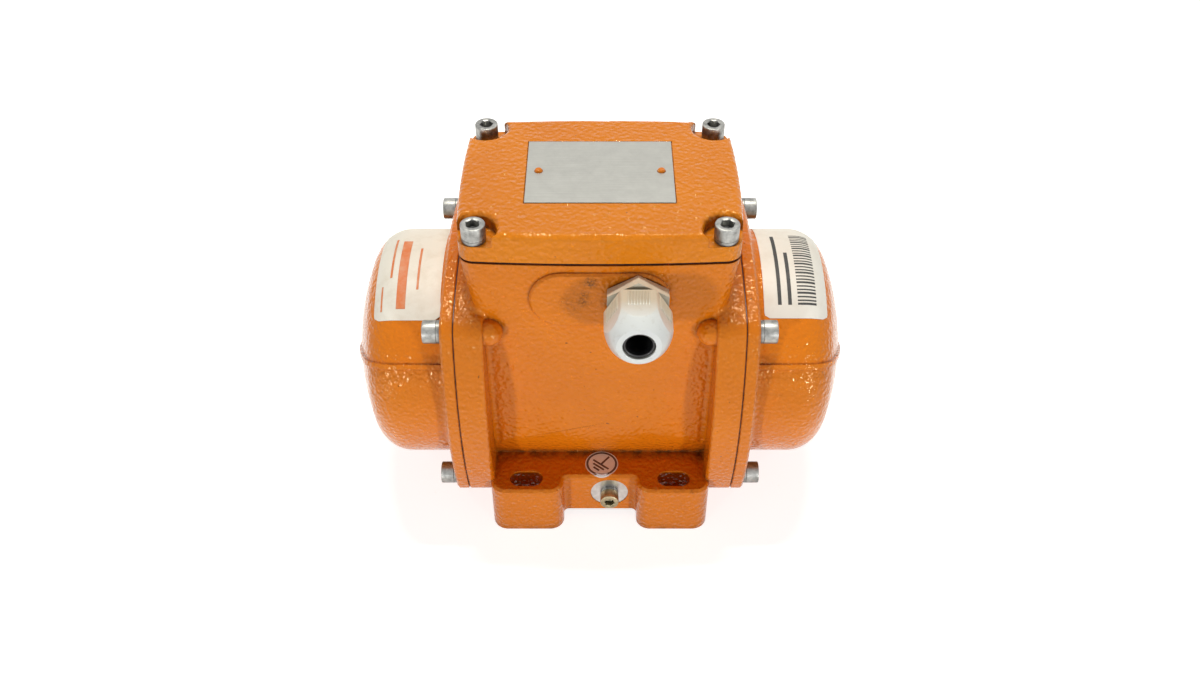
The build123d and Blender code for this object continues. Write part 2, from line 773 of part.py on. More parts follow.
# Terminal board on the chamber floor
board_top_z = chamber_floor_z + board_thickness
with BuildPart() as terminal_board:
    with BuildSketch(Plane.XY.offset(chamber_floor_z)):
        with Locations((board_centre_x, 0)):
            Rectangle(board_length, board_width)
            with GridLocations(board_length, board_width, 2, 2):
                Circle(board_corner_radius, mode=Mode.SUBTRACT)
        with Locations(*[(x, 0) for x in board_screw_places]):
            Circle(board_screw_size / 2 + screw_gap, mode=Mode.SUBTRACT)
    extrude(amount=board_thickness)
    with BuildSketch(Plane.XY.offset(board_top_z)):
        with Locations((board_centre_x, 0)):
            with GridLocations(stud_pitch_x, 1, 2, 1):
                Rectangle(board_rib_width, board_width)
    extrude(amount=board_rib_height)

with BuildPart() as terminal_studs:
    with Locations((board_centre_x, 0, board_top_z)):
        with GridLocations(stud_pitch_x, stud_pitch_y, 3, 2):
            Cylinder(stud_radius, stud_rise, align=(Align.CENTER, Align.CENTER, Align.MIN))

with BuildPart() as board_screws:
    with Locations(*[(x, 0, board_top_z) for x in board_screw_places]):
        add(board_screw)

# Everything at the right-hand end; the left-hand end is its mirror image
bead_tilt = radians(cover_bead_angle)
bead_plane = Plane(
    origin=(0, 0, shaft_height),
    x_dir=(1, 0, 0),
    z_dir=(0, -sin(bead_tilt), -cos(bead_tilt)),
)

with BuildPart() as cover_gasket:
    with BuildSketch(across(split_x)):
        add(flange_outline(joint_setback))
        Circle(cover_radius - cover_wall, mode=Mode.SUBTRACT)
        with GridLocations(2 * bolt_offset, 2 * bolt_offset, 2, 2):
            Circle(cover_screw_size / 2 + screw_gap, mode=Mode.SUBTRACT)
    extrude(amount=cover_joint_thickness)

with BuildPart() as cover:
    with BuildSketch(across(cover_back_x)):
        add(flange_outline(0))
    extrude(amount=cover_flange_thickness)
    flange_faces = cover.faces().sort_by(Axis.X)
    chamfer(flange_faces[-1].edges(), cover_edge_chamfer)
    chamfer(flange_faces[0].edges(), joint_edge_chamfer)
    with BuildSketch(shaft_plane):
        add(dome_section(0, cover_back_x))
    revolve(axis=shaft_axis)
    root = [e for e in cover.edges().filter_by(GeomType.CIRCLE)
            if abs(e.center().X - cover_face_x) < seat_gap and abs(e.radius - cover_radius) < seat_gap]
    fillet(root, cover_root_fillet)
    with BuildSketch(bead_plane):
        add(dome_section(cover_bead_rise, cover_back_x))
        mirror(about=Plane.XZ)
    extrude(amount=cover_bead_width / 2, both=True)
    with BuildSketch(shaft_plane):
        add(dome_section(-cover_wall, cover_back_x))
    revolve(axis=shaft_axis, mode=Mode.SUBTRACT)
    with BuildSketch(across(cover_back_x)):
        with GridLocations(2 * bolt_offset, 2 * bolt_offset, 2, 2):
            Circle(cover_screw_size / 2 + screw_gap)
    extrude(amount=cover_flange_thickness, mode=Mode.SUBTRACT)

with BuildPart() as cover_washers:
    with Locations(*cover_screw_seats):
        add(washer_m6)

with BuildPart() as cover_screws:
    with Locations(*[seat.offset(spring_washer_thickness) for seat in cover_screw_seats]):
        add(socket_screw_m6x20)

with BuildPart() as bearing_shield:
    with BuildSketch(shaft_plane):
        with BuildLine():
            hub_radius = bearing_outer_radius + shield_hub_wall
            Polyline(
                (hub_start_x, shaft_clearance_radius),
                (hub_start_x, hub_radius),
                (shield_seat_x, hub_radius),
                (shield_seat_x, shield_seat_radius - seat_gap),
                (split_x, shield_seat_radius - seat_gap),
                (split_x, bearing_outer_radius + seat_gap),
                (bearing_start_x, bearing_outer_radius + seat_gap),
                (bearing_start_x, shaft_clearance_radius),
                close=True,
            )
        make_face()
    revolve(axis=shaft_axis)
    with BuildSketch(across(bearing_end_x)):
        Circle(bearing_outer_radius + circlip_depth)
    extrude(amount=circlip_thickness, mode=Mode.SUBTRACT)

with BuildPart() as bearing_circlip:
    add(ring_on_shaft(bearing_end_x, bearing_end_x + circlip_thickness,
                      bearing_outer_radius - circlip_inner_reach,
                      bearing_outer_radius + circlip_depth - seat_gap))
    with Locations((bearing_end_x, 0, shaft_height + bearing_outer_radius)):
        Box(circlip_thickness, circlip_gap, bearing_ring_wall * 2,
            align=(Align.MIN, Align.CENTER, Align.CENTER), mode=Mode.SUBTRACT)

with BuildPart() as bearing_outer_ring:
    add(ring_on_shaft(bearing_start_x, bearing_end_x, bearing_seal_radius, bearing_outer_radius))

with BuildPart() as bearing_inner_ring:
    add(ring_on_shaft(bearing_start_x, bearing_end_x,
                      bearing_bore_radius + seat_gap, bearing_bore_radius + bearing_ring_wall))

with BuildPart() as weight_spacer:
    add(ring_on_shaft(bearing_end_x, fixed_weight_x, bearing_bore_radius + seat_gap, spacer_radius))

with BuildPart() as fixed_weight:
    add(clamp_weight(fixed_weight_x, weight_seat_radius + seat_gap))
    with Locations((fixed_weight_x, 0, shaft_height - weight_seat_radius + key_depth)):
        Box(weight_thickness, key_width + 2 * seat_gap, key_height + seat_gap,
            align=(Align.MIN, Align.CENTER, Align.MAX), mode=Mode.SUBTRACT)

with BuildPart() as fixed_weight_screw:
    add(clamp_screw(fixed_weight_x))

with BuildPart() as weight_key:
    key_top_z = shaft_height - weight_seat_radius + key_depth
    with Locations((fixed_weight_x + weight_thickness / 2, 0, key_top_z)):
        Box(key_length - seat_gap, key_width - seat_gap, key_height - seat_gap,
            align=(Align.CENTER, Align.CENTER, Align.MAX))

with BuildPart() as adjustable_weight:
    add(clamp_weight(adjustable_weight_x, weight_seat_radius + running_gap))

with BuildPart() as adjustable_weight_screw:
    add(clamp_screw(adjustable_weight_x))

with BuildPart() as end_washer:
    add(ring_on_shaft(end_washer_x, end_circlip_x, weight_seat_radius + seat_gap, end_washer_radius))

with BuildPart() as end_circlip:
    add(ring_on_shaft(end_circlip_x, end_circlip_x + end_circlip_thickness,
                      weight_seat_radius - end_circlip_depth + seat_gap,
                      weight_seat_radius + end_circlip_width))
    with Locations((end_circlip_x, 0, shaft_height + weight_seat_radius)):
        Box(end_circlip_thickness, circlip_gap, end_circlip_width * 3,
            align=(Align.MIN, Align.CENTER, Align.CENTER), mode=Mode.SUBTRACT)

centre_pieces = {
    "housing": housing,
    "lid_gasket": lid_gasket,
    "terminal_lid": terminal_lid,
    "lid_washers": lid_washers,
    "lid_screws": lid_screws,
    "lid_plate": lid_plate,
    "plate_rivets": plate_rivets,
    "gland_gasket": gland_gasket,
    "gland_body": gland_body,
    "gland_nut": gland_nut,
    "gland_seal": gland_seal,
    "ground_washer": ground_washer,
    "ground_screw": ground_screw,
    "stator_core": stator_core,
    "stator_windings": stator_windings,
    "shaft": shaft,
    "rotor_core": rotor_core,
    "rotor_end_rings": rotor_end_rings,
    "terminal_board": terminal_board,
    "terminal_studs": terminal_studs,
    "board_screws": board_screws,
}
end_pieces = {
    "cover_gasket": cover_gasket,
    "cover": cover,
    "cover_washers": cover_washers,
    "cover_screws": cover_screws,
    "bearing_shield": bearing_shield,
    "bearing_circlip": bearing_circlip,
    "bearing_outer_ring": bearing_outer_ring,
    "bearing_inner_ring": bearing_inner_ring,
    "weight_spacer": weight_spacer,
    "fixed_weight": fixed_weight,
    "fixed_weight_screw": fixed_weight_screw,
    "weight_key": weight_key,
    "adjustable_weight": adjustable_weight,
    "adjustable_weight_screw": adjustable_weight_screw,
    "end_washer": end_washer,
    "end_circlip": end_circlip,
}

for node, piece in centre_pieces.items():
    piece.part.label = node
    export_step(piece.part, f"parts/{node}.step")

for node, piece in end_pieces.items():
    piece.part.label = f"right_{node}"
    export_step(piece.part, f"parts/right_{node}.step")
    with BuildPart() as mirrored:
        mirror(piece.part, about=Plane.YZ)
    mirrored.part.label = f"left_{node}"
    export_step(mirrored.part, f"parts/left_{node}.step")
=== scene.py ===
"""Vibration motor: finishes, small fasteners, labels, camera and light around the CAD frame."""

import logging
import math
from dataclasses import dataclass, field
from enum import Enum
from typing import Iterable, Sequence

import bmesh
import bpy
from mathutils import Matrix, Vector

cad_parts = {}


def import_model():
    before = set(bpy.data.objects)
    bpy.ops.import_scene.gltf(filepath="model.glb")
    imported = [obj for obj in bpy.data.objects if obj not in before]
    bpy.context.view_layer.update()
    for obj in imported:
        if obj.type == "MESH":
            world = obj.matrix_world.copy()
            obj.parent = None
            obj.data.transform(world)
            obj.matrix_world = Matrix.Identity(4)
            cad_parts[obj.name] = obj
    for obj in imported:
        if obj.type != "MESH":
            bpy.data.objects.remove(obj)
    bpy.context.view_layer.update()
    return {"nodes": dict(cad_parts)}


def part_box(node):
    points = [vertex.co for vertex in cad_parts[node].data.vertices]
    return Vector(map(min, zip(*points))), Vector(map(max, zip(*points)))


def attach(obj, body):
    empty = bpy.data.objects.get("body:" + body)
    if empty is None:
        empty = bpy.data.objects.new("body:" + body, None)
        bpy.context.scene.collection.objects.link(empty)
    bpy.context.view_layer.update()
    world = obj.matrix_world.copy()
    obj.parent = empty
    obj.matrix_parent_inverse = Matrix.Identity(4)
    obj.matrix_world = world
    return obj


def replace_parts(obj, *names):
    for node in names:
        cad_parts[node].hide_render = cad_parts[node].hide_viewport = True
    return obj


Colour = tuple[float, float, float]
Point = tuple[float, float, float]
Socket = bpy.types.NodeSocket

MM = 0.001
LOG = logging.getLogger("vibration_motor")


class Side(Enum):
    """The two ends of the shaft, by the sign of X."""

    LEFT = -1
    RIGHT = 1

    @property
    def prefix(self) -> str:
        """Start of the CAD node names at this end."""
        return self.name.lower()


class Shader:
    """Node tree of one finish, with short calls for the nodes that finishes share."""

    def __init__(self, name: str) -> None:
        """Starts a material with a Principled shader.

        Args:
            name: Name of the material.
        """
        self.material = bpy.data.materials.new(name)
        self.material.use_nodes = True
        self.tree = self.material.node_tree
        self.surface = self.tree.nodes["Principled BSDF"]
        self.place = self.node("ShaderNodeTexCoord").outputs["Object"]

    def node(self, kind: str, inputs: dict | None = None, **settings: object) -> bpy.types.Node:
        """Adds a node.

        Args:
            kind: Blender's type name of the node.
            inputs: Input name or index to a value, or to a socket to link from.
            settings: Attributes of the node itself.

        Returns:
            The new node.
        """
        made = self.tree.nodes.new(kind)
        for name, value in settings.items():
            setattr(made, name, value)
        for key, value in (inputs or {}).items():
            self.put(made.inputs[key], value)
        return made

    def put(self, target: Socket, value: object) -> None:
        """Links a socket into target, or sets target to a plain value.

        Args:
            target: Input socket of a node.
            value: Output socket to link from, or a plain value.
        """
        if isinstance(value, bpy.types.NodeSocket):
            self.tree.links.new(value, target)
        else:
            target.default_value = value

    def set(self, **values: object) -> None:
        """Sets the Principled shader's inputs, with underscores for spaces in their names."""
        for name, value in values.items():
            self.put(self.surface.inputs[name.replace("_", " ")], value)

    def noise(self, scale: float, detail: float = 2.0, roughness: float = 0.5,
              at: Socket | None = None) -> Socket:
        """Smooth noise from 0 to 1, scale in cells per metre."""
        return self.node("ShaderNodeTexNoise", {"Vector": at or self.place, "Scale": scale,
                                                "Detail": detail, "Roughness": roughness}).outputs["Fac"]

    def cells(self, scale: float, smoothness: float = 0.7) -> Socket:
        """Distance field of soft cells, scale in cells per metre."""
        return self.node("ShaderNodeTexVoronoi", {"Vector": self.place, "Scale": scale, "Smoothness": smoothness},
                         feature="SMOOTH_F1").outputs["Distance"]

    def ramp(self, value: Socket, low: float, high: float, start: float = 0.0, end: float = 1.0) -> Socket:
        """Clamped linear step of value from start at low to end at high."""
        return self.node("ShaderNodeMapRange", {0: value, 1: low, 2: high, 3: start, 4: end}).outputs[0]

    def math(self, operation: str, first: object, second: object = 0.5) -> Socket:
        """Result of a Math node on two values or sockets."""
        return self.node("ShaderNodeMath", {0: first, 1: second}, operation=operation).outputs[0]

    def mix(self, factor: object, first: object, second: object) -> Socket:
        """Mixes two colours.

        Args:
            factor: Share of the second colour, a socket or a number.
            first: First colour, a socket or a plain colour.
            second: Second colour, a socket or a plain colour.

        Returns:
            The mixed colour.
        """
        made = self.node("ShaderNodeMix", data_type="RGBA")
        for key, value in ((0, factor), (6, first), (7, second)):
            plain = isinstance(value, tuple) and len(value) == 3
            self.put(made.inputs[key], (*value, 1.0) if plain else value)
        return made.outputs[2]

    def near(self, centre: Point, reach: float) -> Socket:
        """1 at a point of the row frame, falling to 0 at reach metres from it."""
        gap = self.node("ShaderNodeVectorMath", {0: self.place, 1: centre}, operation="DISTANCE").outputs["Value"]
        return self.ramp(gap, 0.0, reach, 1.0, 0.0)

    def corners(self, distance: float) -> Socket:
        """Openness of the surface, 1 in the open and lower in corners within distance."""
        return self.node("ShaderNodeAmbientOcclusion", {"Distance": distance}, samples=6).outputs["AO"]

    def edges(self, radius: float) -> Socket:
        """Normal with sharp edges rounded over radius metres."""
        return self.node("ShaderNodeBevel", {"Radius": radius}, samples=4).outputs["Normal"]

    def bump(self, height: Socket, depth: float, normal: Socket | None = None) -> Socket:
        """Bends the normal by a height field.

        Args:
            height: Height field, from 0 to 1.
            depth: Depth of the field in metres.
            normal: Normal to bend, the surface's own if none is given.

        Returns:
            The bent normal.
        """
        inputs = {"Height": height, "Distance": depth, "Strength": 1.0}
        if normal is not None:
            inputs["Normal"] = normal
        return self.node("ShaderNodeBump", inputs).outputs["Normal"]


@dataclass(frozen=True)
class Stain:
    """A dark mark on the paint, as a soft spot broken up by noise; used for stains and for painted shadow and shade.
    """

    centre: Point
    reach: float
    strength: float


@dataclass(frozen=True)
class Enamel:
    """Glossy orange enamel with a hammered skin, darker in corners from dirt and painted shade.

    Scales count cells per metre. The sheen tints the gloss towards yellow.
    """

    name: str
    colour: Colour = (0.735, 0.192, 0.004)
    shade: Colour = (0.58, 0.135, 0.006)
    # Dark colour of specks and stains, and of the painted shade in corners.
    grime: Colour = (0.090, 0.030, 0.010)
    cell_scale: float = 640.0
    peel_depth: float = 0.39 * MM
    edge_radius: float = 0.7 * MM
    roughness: float = 0.09
    gloss: float = 0.40
    sheen: tuple[float, float, float, float] = (1.0, 0.80, 0.42, 1.0)
    # Dark spots: real stains, and painted shadow and shade.
    stains_and_shade: tuple[Stain, ...] = ()
    cloud_scale: float = 26.0
    # Reach and patch size of the painted shade and dirt in corners.
    grime_reach: float = 7.0 * MM
    grime_scale: float = 240.0
    speck_scale: float = 420.0
    stain_scale: float = 900.0

    def make(self) -> bpy.types.Material:
        """Builds the material.

        Returns:
            The new material.
        """
        paint = Shader(self.name)
        cloudy = paint.ramp(paint.noise(self.cloud_scale, 3.0), 0.35, 0.70, 0.0, 0.35)
        colour = paint.mix(cloudy, self.colour, self.shade)
        # Painted shade and dirt: ambient occlusion darkens the paint in corners and recesses, in noisy patches.
        tucked = paint.ramp(paint.corners(self.grime_reach), 0.35, 0.80, 1.0, 0.0)
        patches = paint.ramp(paint.noise(self.grime_scale, 4.0), 0.35, 0.65, 0.25, 0.85)
        patchy = paint.math("MULTIPLY", tucked, patches)
        colour = paint.mix(patchy, colour, self.grime)
        specks = paint.ramp(paint.noise(self.speck_scale, 1.0, 0.3), 0.80, 0.825, 0.0, 0.65)
        colour = paint.mix(specks, colour, self.grime)
        # Dark spots: smudges and a chip, together with a painted shadow of the gland and painted shade under the lid
        # corners.
        for stain in self.stains_and_shade:
            broken_up = paint.ramp(paint.noise(self.stain_scale, 5.0, 0.7), 0.40, 0.62)
            spot = paint.math("MULTIPLY", paint.near(stain.centre, stain.reach), broken_up)
            colour = paint.mix(paint.math("MULTIPLY", spot, stain.strength), colour, self.grime)
        peel = paint.math("ADD", paint.noise(self.cell_scale, 1.0, 0.35), paint.cells(self.cell_scale * 0.8))
        normal = paint.bump(peel, self.peel_depth, paint.edges(self.edge_radius))
        paint.set(Base_Color=colour, Roughness=self.roughness, Normal=normal,
                  Specular_IOR_Level=self.gloss, Specular_Tint=self.sheen)
        return paint.material


@dataclass(frozen=True)
class PlainMetal:
    """Bare or plated metal with fine wear, and painted shade that darkens its corners."""

    name: str
    colour: Colour
    tarnish_and_shade: Colour
    roughness: float = 0.38
    grain: float = 1800.0
    grain_depth: float = 0.012 * MM
    edge_radius: float = 0.15 * MM

    def make(self) -> bpy.types.Material:
        """Builds the material.

        Returns:
            The new material.
        """
        metal = Shader(self.name)
        cloudy = metal.ramp(metal.noise(320.0, 5.0, 0.65), 0.38, 0.66)
        # Painted shade: ambient occlusion darkens corners and recesses towards a near-black tarnish tone.
        tucked = metal.ramp(metal.corners(2.6 * MM), 0.35, 0.92, 0.95, 0.0)
        colour = metal.mix(cloudy, self.colour, self.tarnish_and_shade)
        colour = metal.mix(tucked, colour, tuple(0.12 * part for part in self.tarnish_and_shade))
        rough = metal.ramp(metal.noise(700.0, 4.0), 0.3, 0.7, self.roughness - 0.08, self.roughness + 0.12)
        normal = metal.bump(metal.noise(self.grain, 3.0), self.grain_depth, metal.edges(self.edge_radius))
        metal.set(Base_Color=colour, Metallic=0.9, Roughness=rough, Normal=normal)
        return metal.material


@dataclass(frozen=True)
class BrushedSheet:
    """Rolled aluminium sheet with long fine scratches along X."""

    name: str
    colour: Colour = (0.46, 0.46, 0.43)
    streak: Colour = (0.34, 0.34, 0.32)
    roughness: float = 0.42

    def make(self) -> bpy.types.Material:
        """Builds the material.

        Returns:
            The new material.
        """
        sheet = Shader(self.name)
        stretched = sheet.node("ShaderNodeVectorMath", {0: sheet.place, 1: (40.0, 2600.0, 2600.0)},
                               operation="MULTIPLY").outputs["Vector"]
        lines = sheet.noise(1.0, 4.0, 0.6, stretched)
        cloudy = sheet.ramp(sheet.noise(180.0, 5.0, 0.7), 0.35, 0.70, 0.0, 0.6)
        colour = sheet.mix(sheet.ramp(lines, 0.35, 0.65, 0.0, 0.6), self.colour, self.streak)
        colour = sheet.mix(cloudy, colour, self.streak)
        rough = sheet.ramp(lines, 0.3, 0.7, self.roughness - 0.08, self.roughness + 0.10)
        sheet.set(Base_Color=colour, Metallic=0.75, Roughness=rough,
                  Normal=sheet.bump(lines, 0.012 * MM, sheet.edges(0.2 * MM)))
        return sheet.material


@dataclass(frozen=True)
class TurnedSpot:
    """Bare metal faced off by a cutter, with fine rings about a centre."""

    name: str
    centre: Point
    colour: Colour = (0.62, 0.61, 0.58)

    def make(self) -> bpy.types.Material:
        """Builds the material.

        Returns:
            The new material.
        """
        spot = Shader(self.name)
        gap = spot.node("ShaderNodeVectorMath", {0: spot.place, 1: self.centre}, operation="DISTANCE").outputs["Value"]
        rings = spot.math("SINE", spot.math("MULTIPLY", gap, 15000.0))
        cloudy = spot.ramp(spot.noise(500.0, 4.0), 0.35, 0.7, 0.0, 0.7)
        colour = spot.mix(cloudy, self.colour, (0.42, 0.41, 0.39))
        spot.set(Base_Color=colour, Metallic=0.95, Roughness=0.30, Normal=spot.bump(rings, 0.006 * MM))
        return spot.material


@dataclass(frozen=True)
class Moulding:
    """Moulded plastic or rubber with a fine skin, a little dust, and dust with painted shade in its corners."""

    name: str
    colour: Colour
    dust: Colour
    roughness: float = 0.45
    dust_and_shade_share: float = 0.35
    skin_depth: float = 0.010 * MM
    edge_radius: float = 0.4 * MM
    scatter: float = 0.0

    def make(self) -> bpy.types.Material:
        """Builds the material.

        Returns:
            The new material.
        """
        plastic = Shader(self.name)
        # Dust and painted shade: ambient occlusion mixes corners towards half the dust colour.
        tucked = plastic.ramp(plastic.corners(3.0 * MM), 0.35, 0.85, self.dust_and_shade_share, 0.0)
        cloudy = plastic.ramp(plastic.noise(260.0, 4.0, 0.6), 0.40, 0.70, 0.0, self.dust_and_shade_share)
        colour = plastic.mix(cloudy, self.colour, self.dust)
        colour = plastic.mix(tucked, colour, tuple(0.5 * part for part in self.dust))
        normal = plastic.bump(plastic.noise(2200.0, 2.0), self.skin_depth, plastic.edges(self.edge_radius))
        plastic.set(Base_Color=colour, Roughness=self.roughness, Normal=normal,
                    Subsurface_Weight=self.scatter, Subsurface_Radius=(1.5 * MM, 1.5 * MM, 1.2 * MM),
                    Subsurface_Scale=1.0)
        return plastic.material


@dataclass(frozen=True)
class AgedNylon:
    """White nylon that has yellowed towards the wall, with dust, and with dust and painted shade in its corners."""

    name: str
    fresh: Colour = (0.74, 0.77, 0.76)
    aged: Colour = (0.60, 0.565, 0.46)
    dust: Colour = (0.40, 0.36, 0.28)
    aged_y: float = -57.0 * MM
    fresh_y: float = -66.0 * MM

    def make(self) -> bpy.types.Material:
        """Builds the material.

        Returns:
            The new material.
        """
        nylon = Shader(self.name)
        along = nylon.node("ShaderNodeSeparateXYZ", {0: nylon.place}).outputs["Y"]
        wander = nylon.math("MULTIPLY", nylon.noise(300.0, 3.0), 3.0 * MM)
        aged = nylon.ramp(nylon.math("ADD", along, wander), self.fresh_y, self.aged_y)
        colour = nylon.mix(aged, self.fresh, self.aged)
        # Dust and painted shade: ambient occlusion darkens the corners, such as the joint with the wall.
        tucked = nylon.ramp(nylon.corners(3.5 * MM), 0.30, 0.85, 0.75, 0.0)
        colour = nylon.mix(tucked, colour, self.dust)
        smudge = nylon.ramp(nylon.noise(420.0, 5.0, 0.65), 0.55, 0.75, 0.0, 0.30)
        colour = nylon.mix(smudge, colour, self.dust)
        normal = nylon.bump(nylon.noise(1500.0, 2.0), 0.02 * MM, nylon.edges(0.4 * MM))
        nylon.set(Base_Color=colour, Roughness=0.30, Normal=normal, Coat_Weight=0.4, Coat_Roughness=0.12,
                  Subsurface_Weight=0.12, Subsurface_Radius=(1.5 * MM, 1.5 * MM, 1.2 * MM), Subsurface_Scale=1.0)
        return nylon.material


@dataclass(frozen=True)
class Paper:
    """Matt label paper, a little stained and rubbed."""

    name: str
    colour: Colour = (0.83, 0.80, 0.72)
    stain: Colour = (0.58, 0.49, 0.36)
    staining: float = 0.35

    def make(self) -> bpy.types.Material:
        """Builds the material.

        Returns:
            The new material.
        """
        paper = Shader(self.name)
        cloudy = paper.ramp(paper.noise(110.0, 6.0, 0.65), 0.48, 0.78, 0.0, self.staining)
        fibre = paper.noise(3200.0, 3.0)
        colour = paper.mix(cloudy, self.colour, self.stain)
        paper.set(Base_Color=colour, Roughness=0.55, Normal=paper.bump(fibre, 0.01 * MM),
                  Coat_Weight=0.15, Coat_Roughness=0.35)
        return paper.material


@dataclass
class Shape:
    """Vertices and faces of one piece, gathered in the row frame."""

    name: str
    corners: list[Vector] = field(default_factory=list)
    faces: list[tuple[int, ...]] = field(default_factory=list)

    def ring(self, points: Iterable[Vector]) -> list[int]:
        """Adds points.

        Args:
            points: Places in the row frame.

        Returns:
            The numbers of the new points.
        """
        first = len(self.corners)
        self.corners.extend(points)
        return list(range(first, len(self.corners)))

    def bridge(self, lower: Sequence[int], upper: Sequence[int], closed: bool = True) -> None:
        """Joins two rows of equally many points with four-sided faces.

        Args:
            lower: Numbers of the first row's points.
            upper: Numbers of the second row's points.
            closed: Whether the last point joins the first.
        """
        count = len(lower)
        for i in range(count if closed else count - 1):
            j = (i + 1) % count
            self.faces.append((lower[i], lower[j], upper[j], upper[i]))

    def cap(self, rim: Sequence[int]) -> None:
        """Closes a rim with one face."""
        self.faces.append(tuple(rim))

    def lathe(self, seat: Matrix, profile: Sequence[tuple[float, float]], segments: int = 48) -> None:
        """Turns a profile about the seat's Z axis.

        Args:
            seat: Places the profile's axis in the row frame.
            profile: Pairs of radius and height, along the outline.
            segments: Steps round the axis.
        """
        rows = []
        for radius, height in profile:
            angles = (2 * math.pi * i / segments for i in range(segments))
            rows.append(self.ring(seat @ Vector((radius * math.cos(a), radius * math.sin(a), height))
                                  for a in angles))
        for lower, upper in zip(rows, rows[1:]):
            self.bridge(lower, upper)

    def build(self, material: bpy.types.Material, body: str, smooth_below: float = 40.0) -> bpy.types.Object:
        """Makes the object, dresses it and lets it ride on a body.

        Args:
            material: Finish of the whole piece.
            body: CAD body that carries it.
            smooth_below: Edges flatter than this many degrees are shaded smooth.

        Returns:
            The new object.
        """
        mesh = bpy.data.meshes.new(self.name)
        mesh.from_pydata(self.corners, [], self.faces)
        work = bmesh.new()
        work.from_mesh(mesh)
        bmesh.ops.remove_doubles(work, verts=work.verts, dist=0.0005 * MM)
        bmesh.ops.recalc_face_normals(work, faces=work.faces)
        limit = math.radians(smooth_below)
        for face in work.faces:
            face.smooth = True
        for edge in work.edges:
            edge.smooth = len(edge.link_faces) != 2 or edge.calc_face_angle() < limit
        work.to_mesh(mesh)
        work.free()
        made = bpy.data.objects.new(self.name, mesh)
        bpy.context.scene.collection.objects.link(made)
        made.data.materials.append(material)
        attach(made, body)
        LOG.info("piece %s on %s", self.name, body)
        return made


def seat_at(origin: Point, outward: Point, up: Point = (0.0, 0.0, 1.0)) -> Matrix:
    """Frame at origin with its Z axis along outward.

    Args:
        origin: Place of the seat in the row frame.
        outward: Direction of the seat's Z axis.
        up: Direction that the seat's Y axis leans to.

    Returns:
        The seat's matrix.
    """
    z = Vector(outward).normalized()
    x = Vector(up).cross(z)
    x = x.normalized() if x.length > 0.001 else Vector((1.0, 0.0, 0.0))
    y = z.cross(x)
    turn = Matrix((x, y, z)).transposed().to_4x4()
    return Matrix.Translation(origin) @ turn


@dataclass(frozen=True)
class SocketScrew:
    """Socket head screw with a rounded head, a chamfered socket and a threaded end."""

    head_radius: float
    head_height: float
    shank_radius: float
    length: float
    flats: float
    edge: float = 0.45 * MM
    pitch: float = 1.0 * MM
    segments: int = 48

    def add(self, shape: Shape, seat: Matrix, turn: float = 0.0) -> None:
        """Adds one screw to a shape, its head's underside on the seat.

        Args:
            shape: Shape that receives the screw.
            seat: Frame with Z out of the hole.
            turn: Angle of the socket in degrees.
        """
        seat = seat @ Matrix.Rotation(math.radians(turn), 4, "Z")
        arc = [math.radians(90 * i / 4) for i in range(5)]
        outline = [(0.0, -self.length), (self.shank_radius - self.pitch / 2, -self.length)]
        height = -self.length + self.pitch / 2
        while height < -self.pitch:
            outline += [(self.shank_radius, height), (self.shank_radius - 0.6 * self.pitch, height + self.pitch / 2)]
            height += self.pitch
        outline += [(self.shank_radius, height), (self.shank_radius, 0.0), (self.head_radius - 0.2 * MM, 0.0),
                    (self.head_radius, 0.2 * MM)]
        outline += [(self.head_radius - self.edge + self.edge * math.cos(a),
                     self.head_height - self.edge + self.edge * math.sin(a)) for a in arc]
        outline.append((self.flats / 2 * 1.22, self.head_height))
        shape.lathe(seat, outline, self.segments)
        lip = self.hexagon(shape, seat, self.flats / 2 * 1.04, self.head_height - 0.25 * MM)
        rim = shape.ring(seat @ Vector((self.flats / 2 * 1.22 * math.cos(a), self.flats / 2 * 1.22 * math.sin(a),
                                        self.head_height)) for a in self.angles())
        floor = self.hexagon(shape, seat, self.flats / 2, 0.45 * self.head_height)
        point = shape.ring(seat @ Vector((0.25 * self.flats * math.cos(a), 0.25 * self.flats * math.sin(a),
                                          0.30 * self.head_height)) for a in self.angles())
        shape.bridge(rim, lip)
        shape.bridge(lip, floor)
        shape.bridge(floor, point)
        shape.cap(point)

    def angles(self) -> list[float]:
        """Steps round the axis, in radians."""
        return [2 * math.pi * i / self.segments for i in range(self.segments)]

    def hexagon(self, shape: Shape, seat: Matrix, inscribed: float, height: float) -> list[int]:
        """Adds a ring of points on a hexagon.

        Args:
            shape: Shape that receives the points.
            seat: Frame of the screw.
            inscribed: Radius of the circle inside the hexagon.
            height: Height over the seat.

        Returns:
            The numbers of the new points.
        """
        points = []
        for angle in self.angles():
            reach = inscribed / math.cos((angle + math.pi / 6) % (math.pi / 3) - math.pi / 6)
            points.append(seat @ Vector((reach * math.cos(angle), reach * math.sin(angle), height)))
        return shape.ring(points)


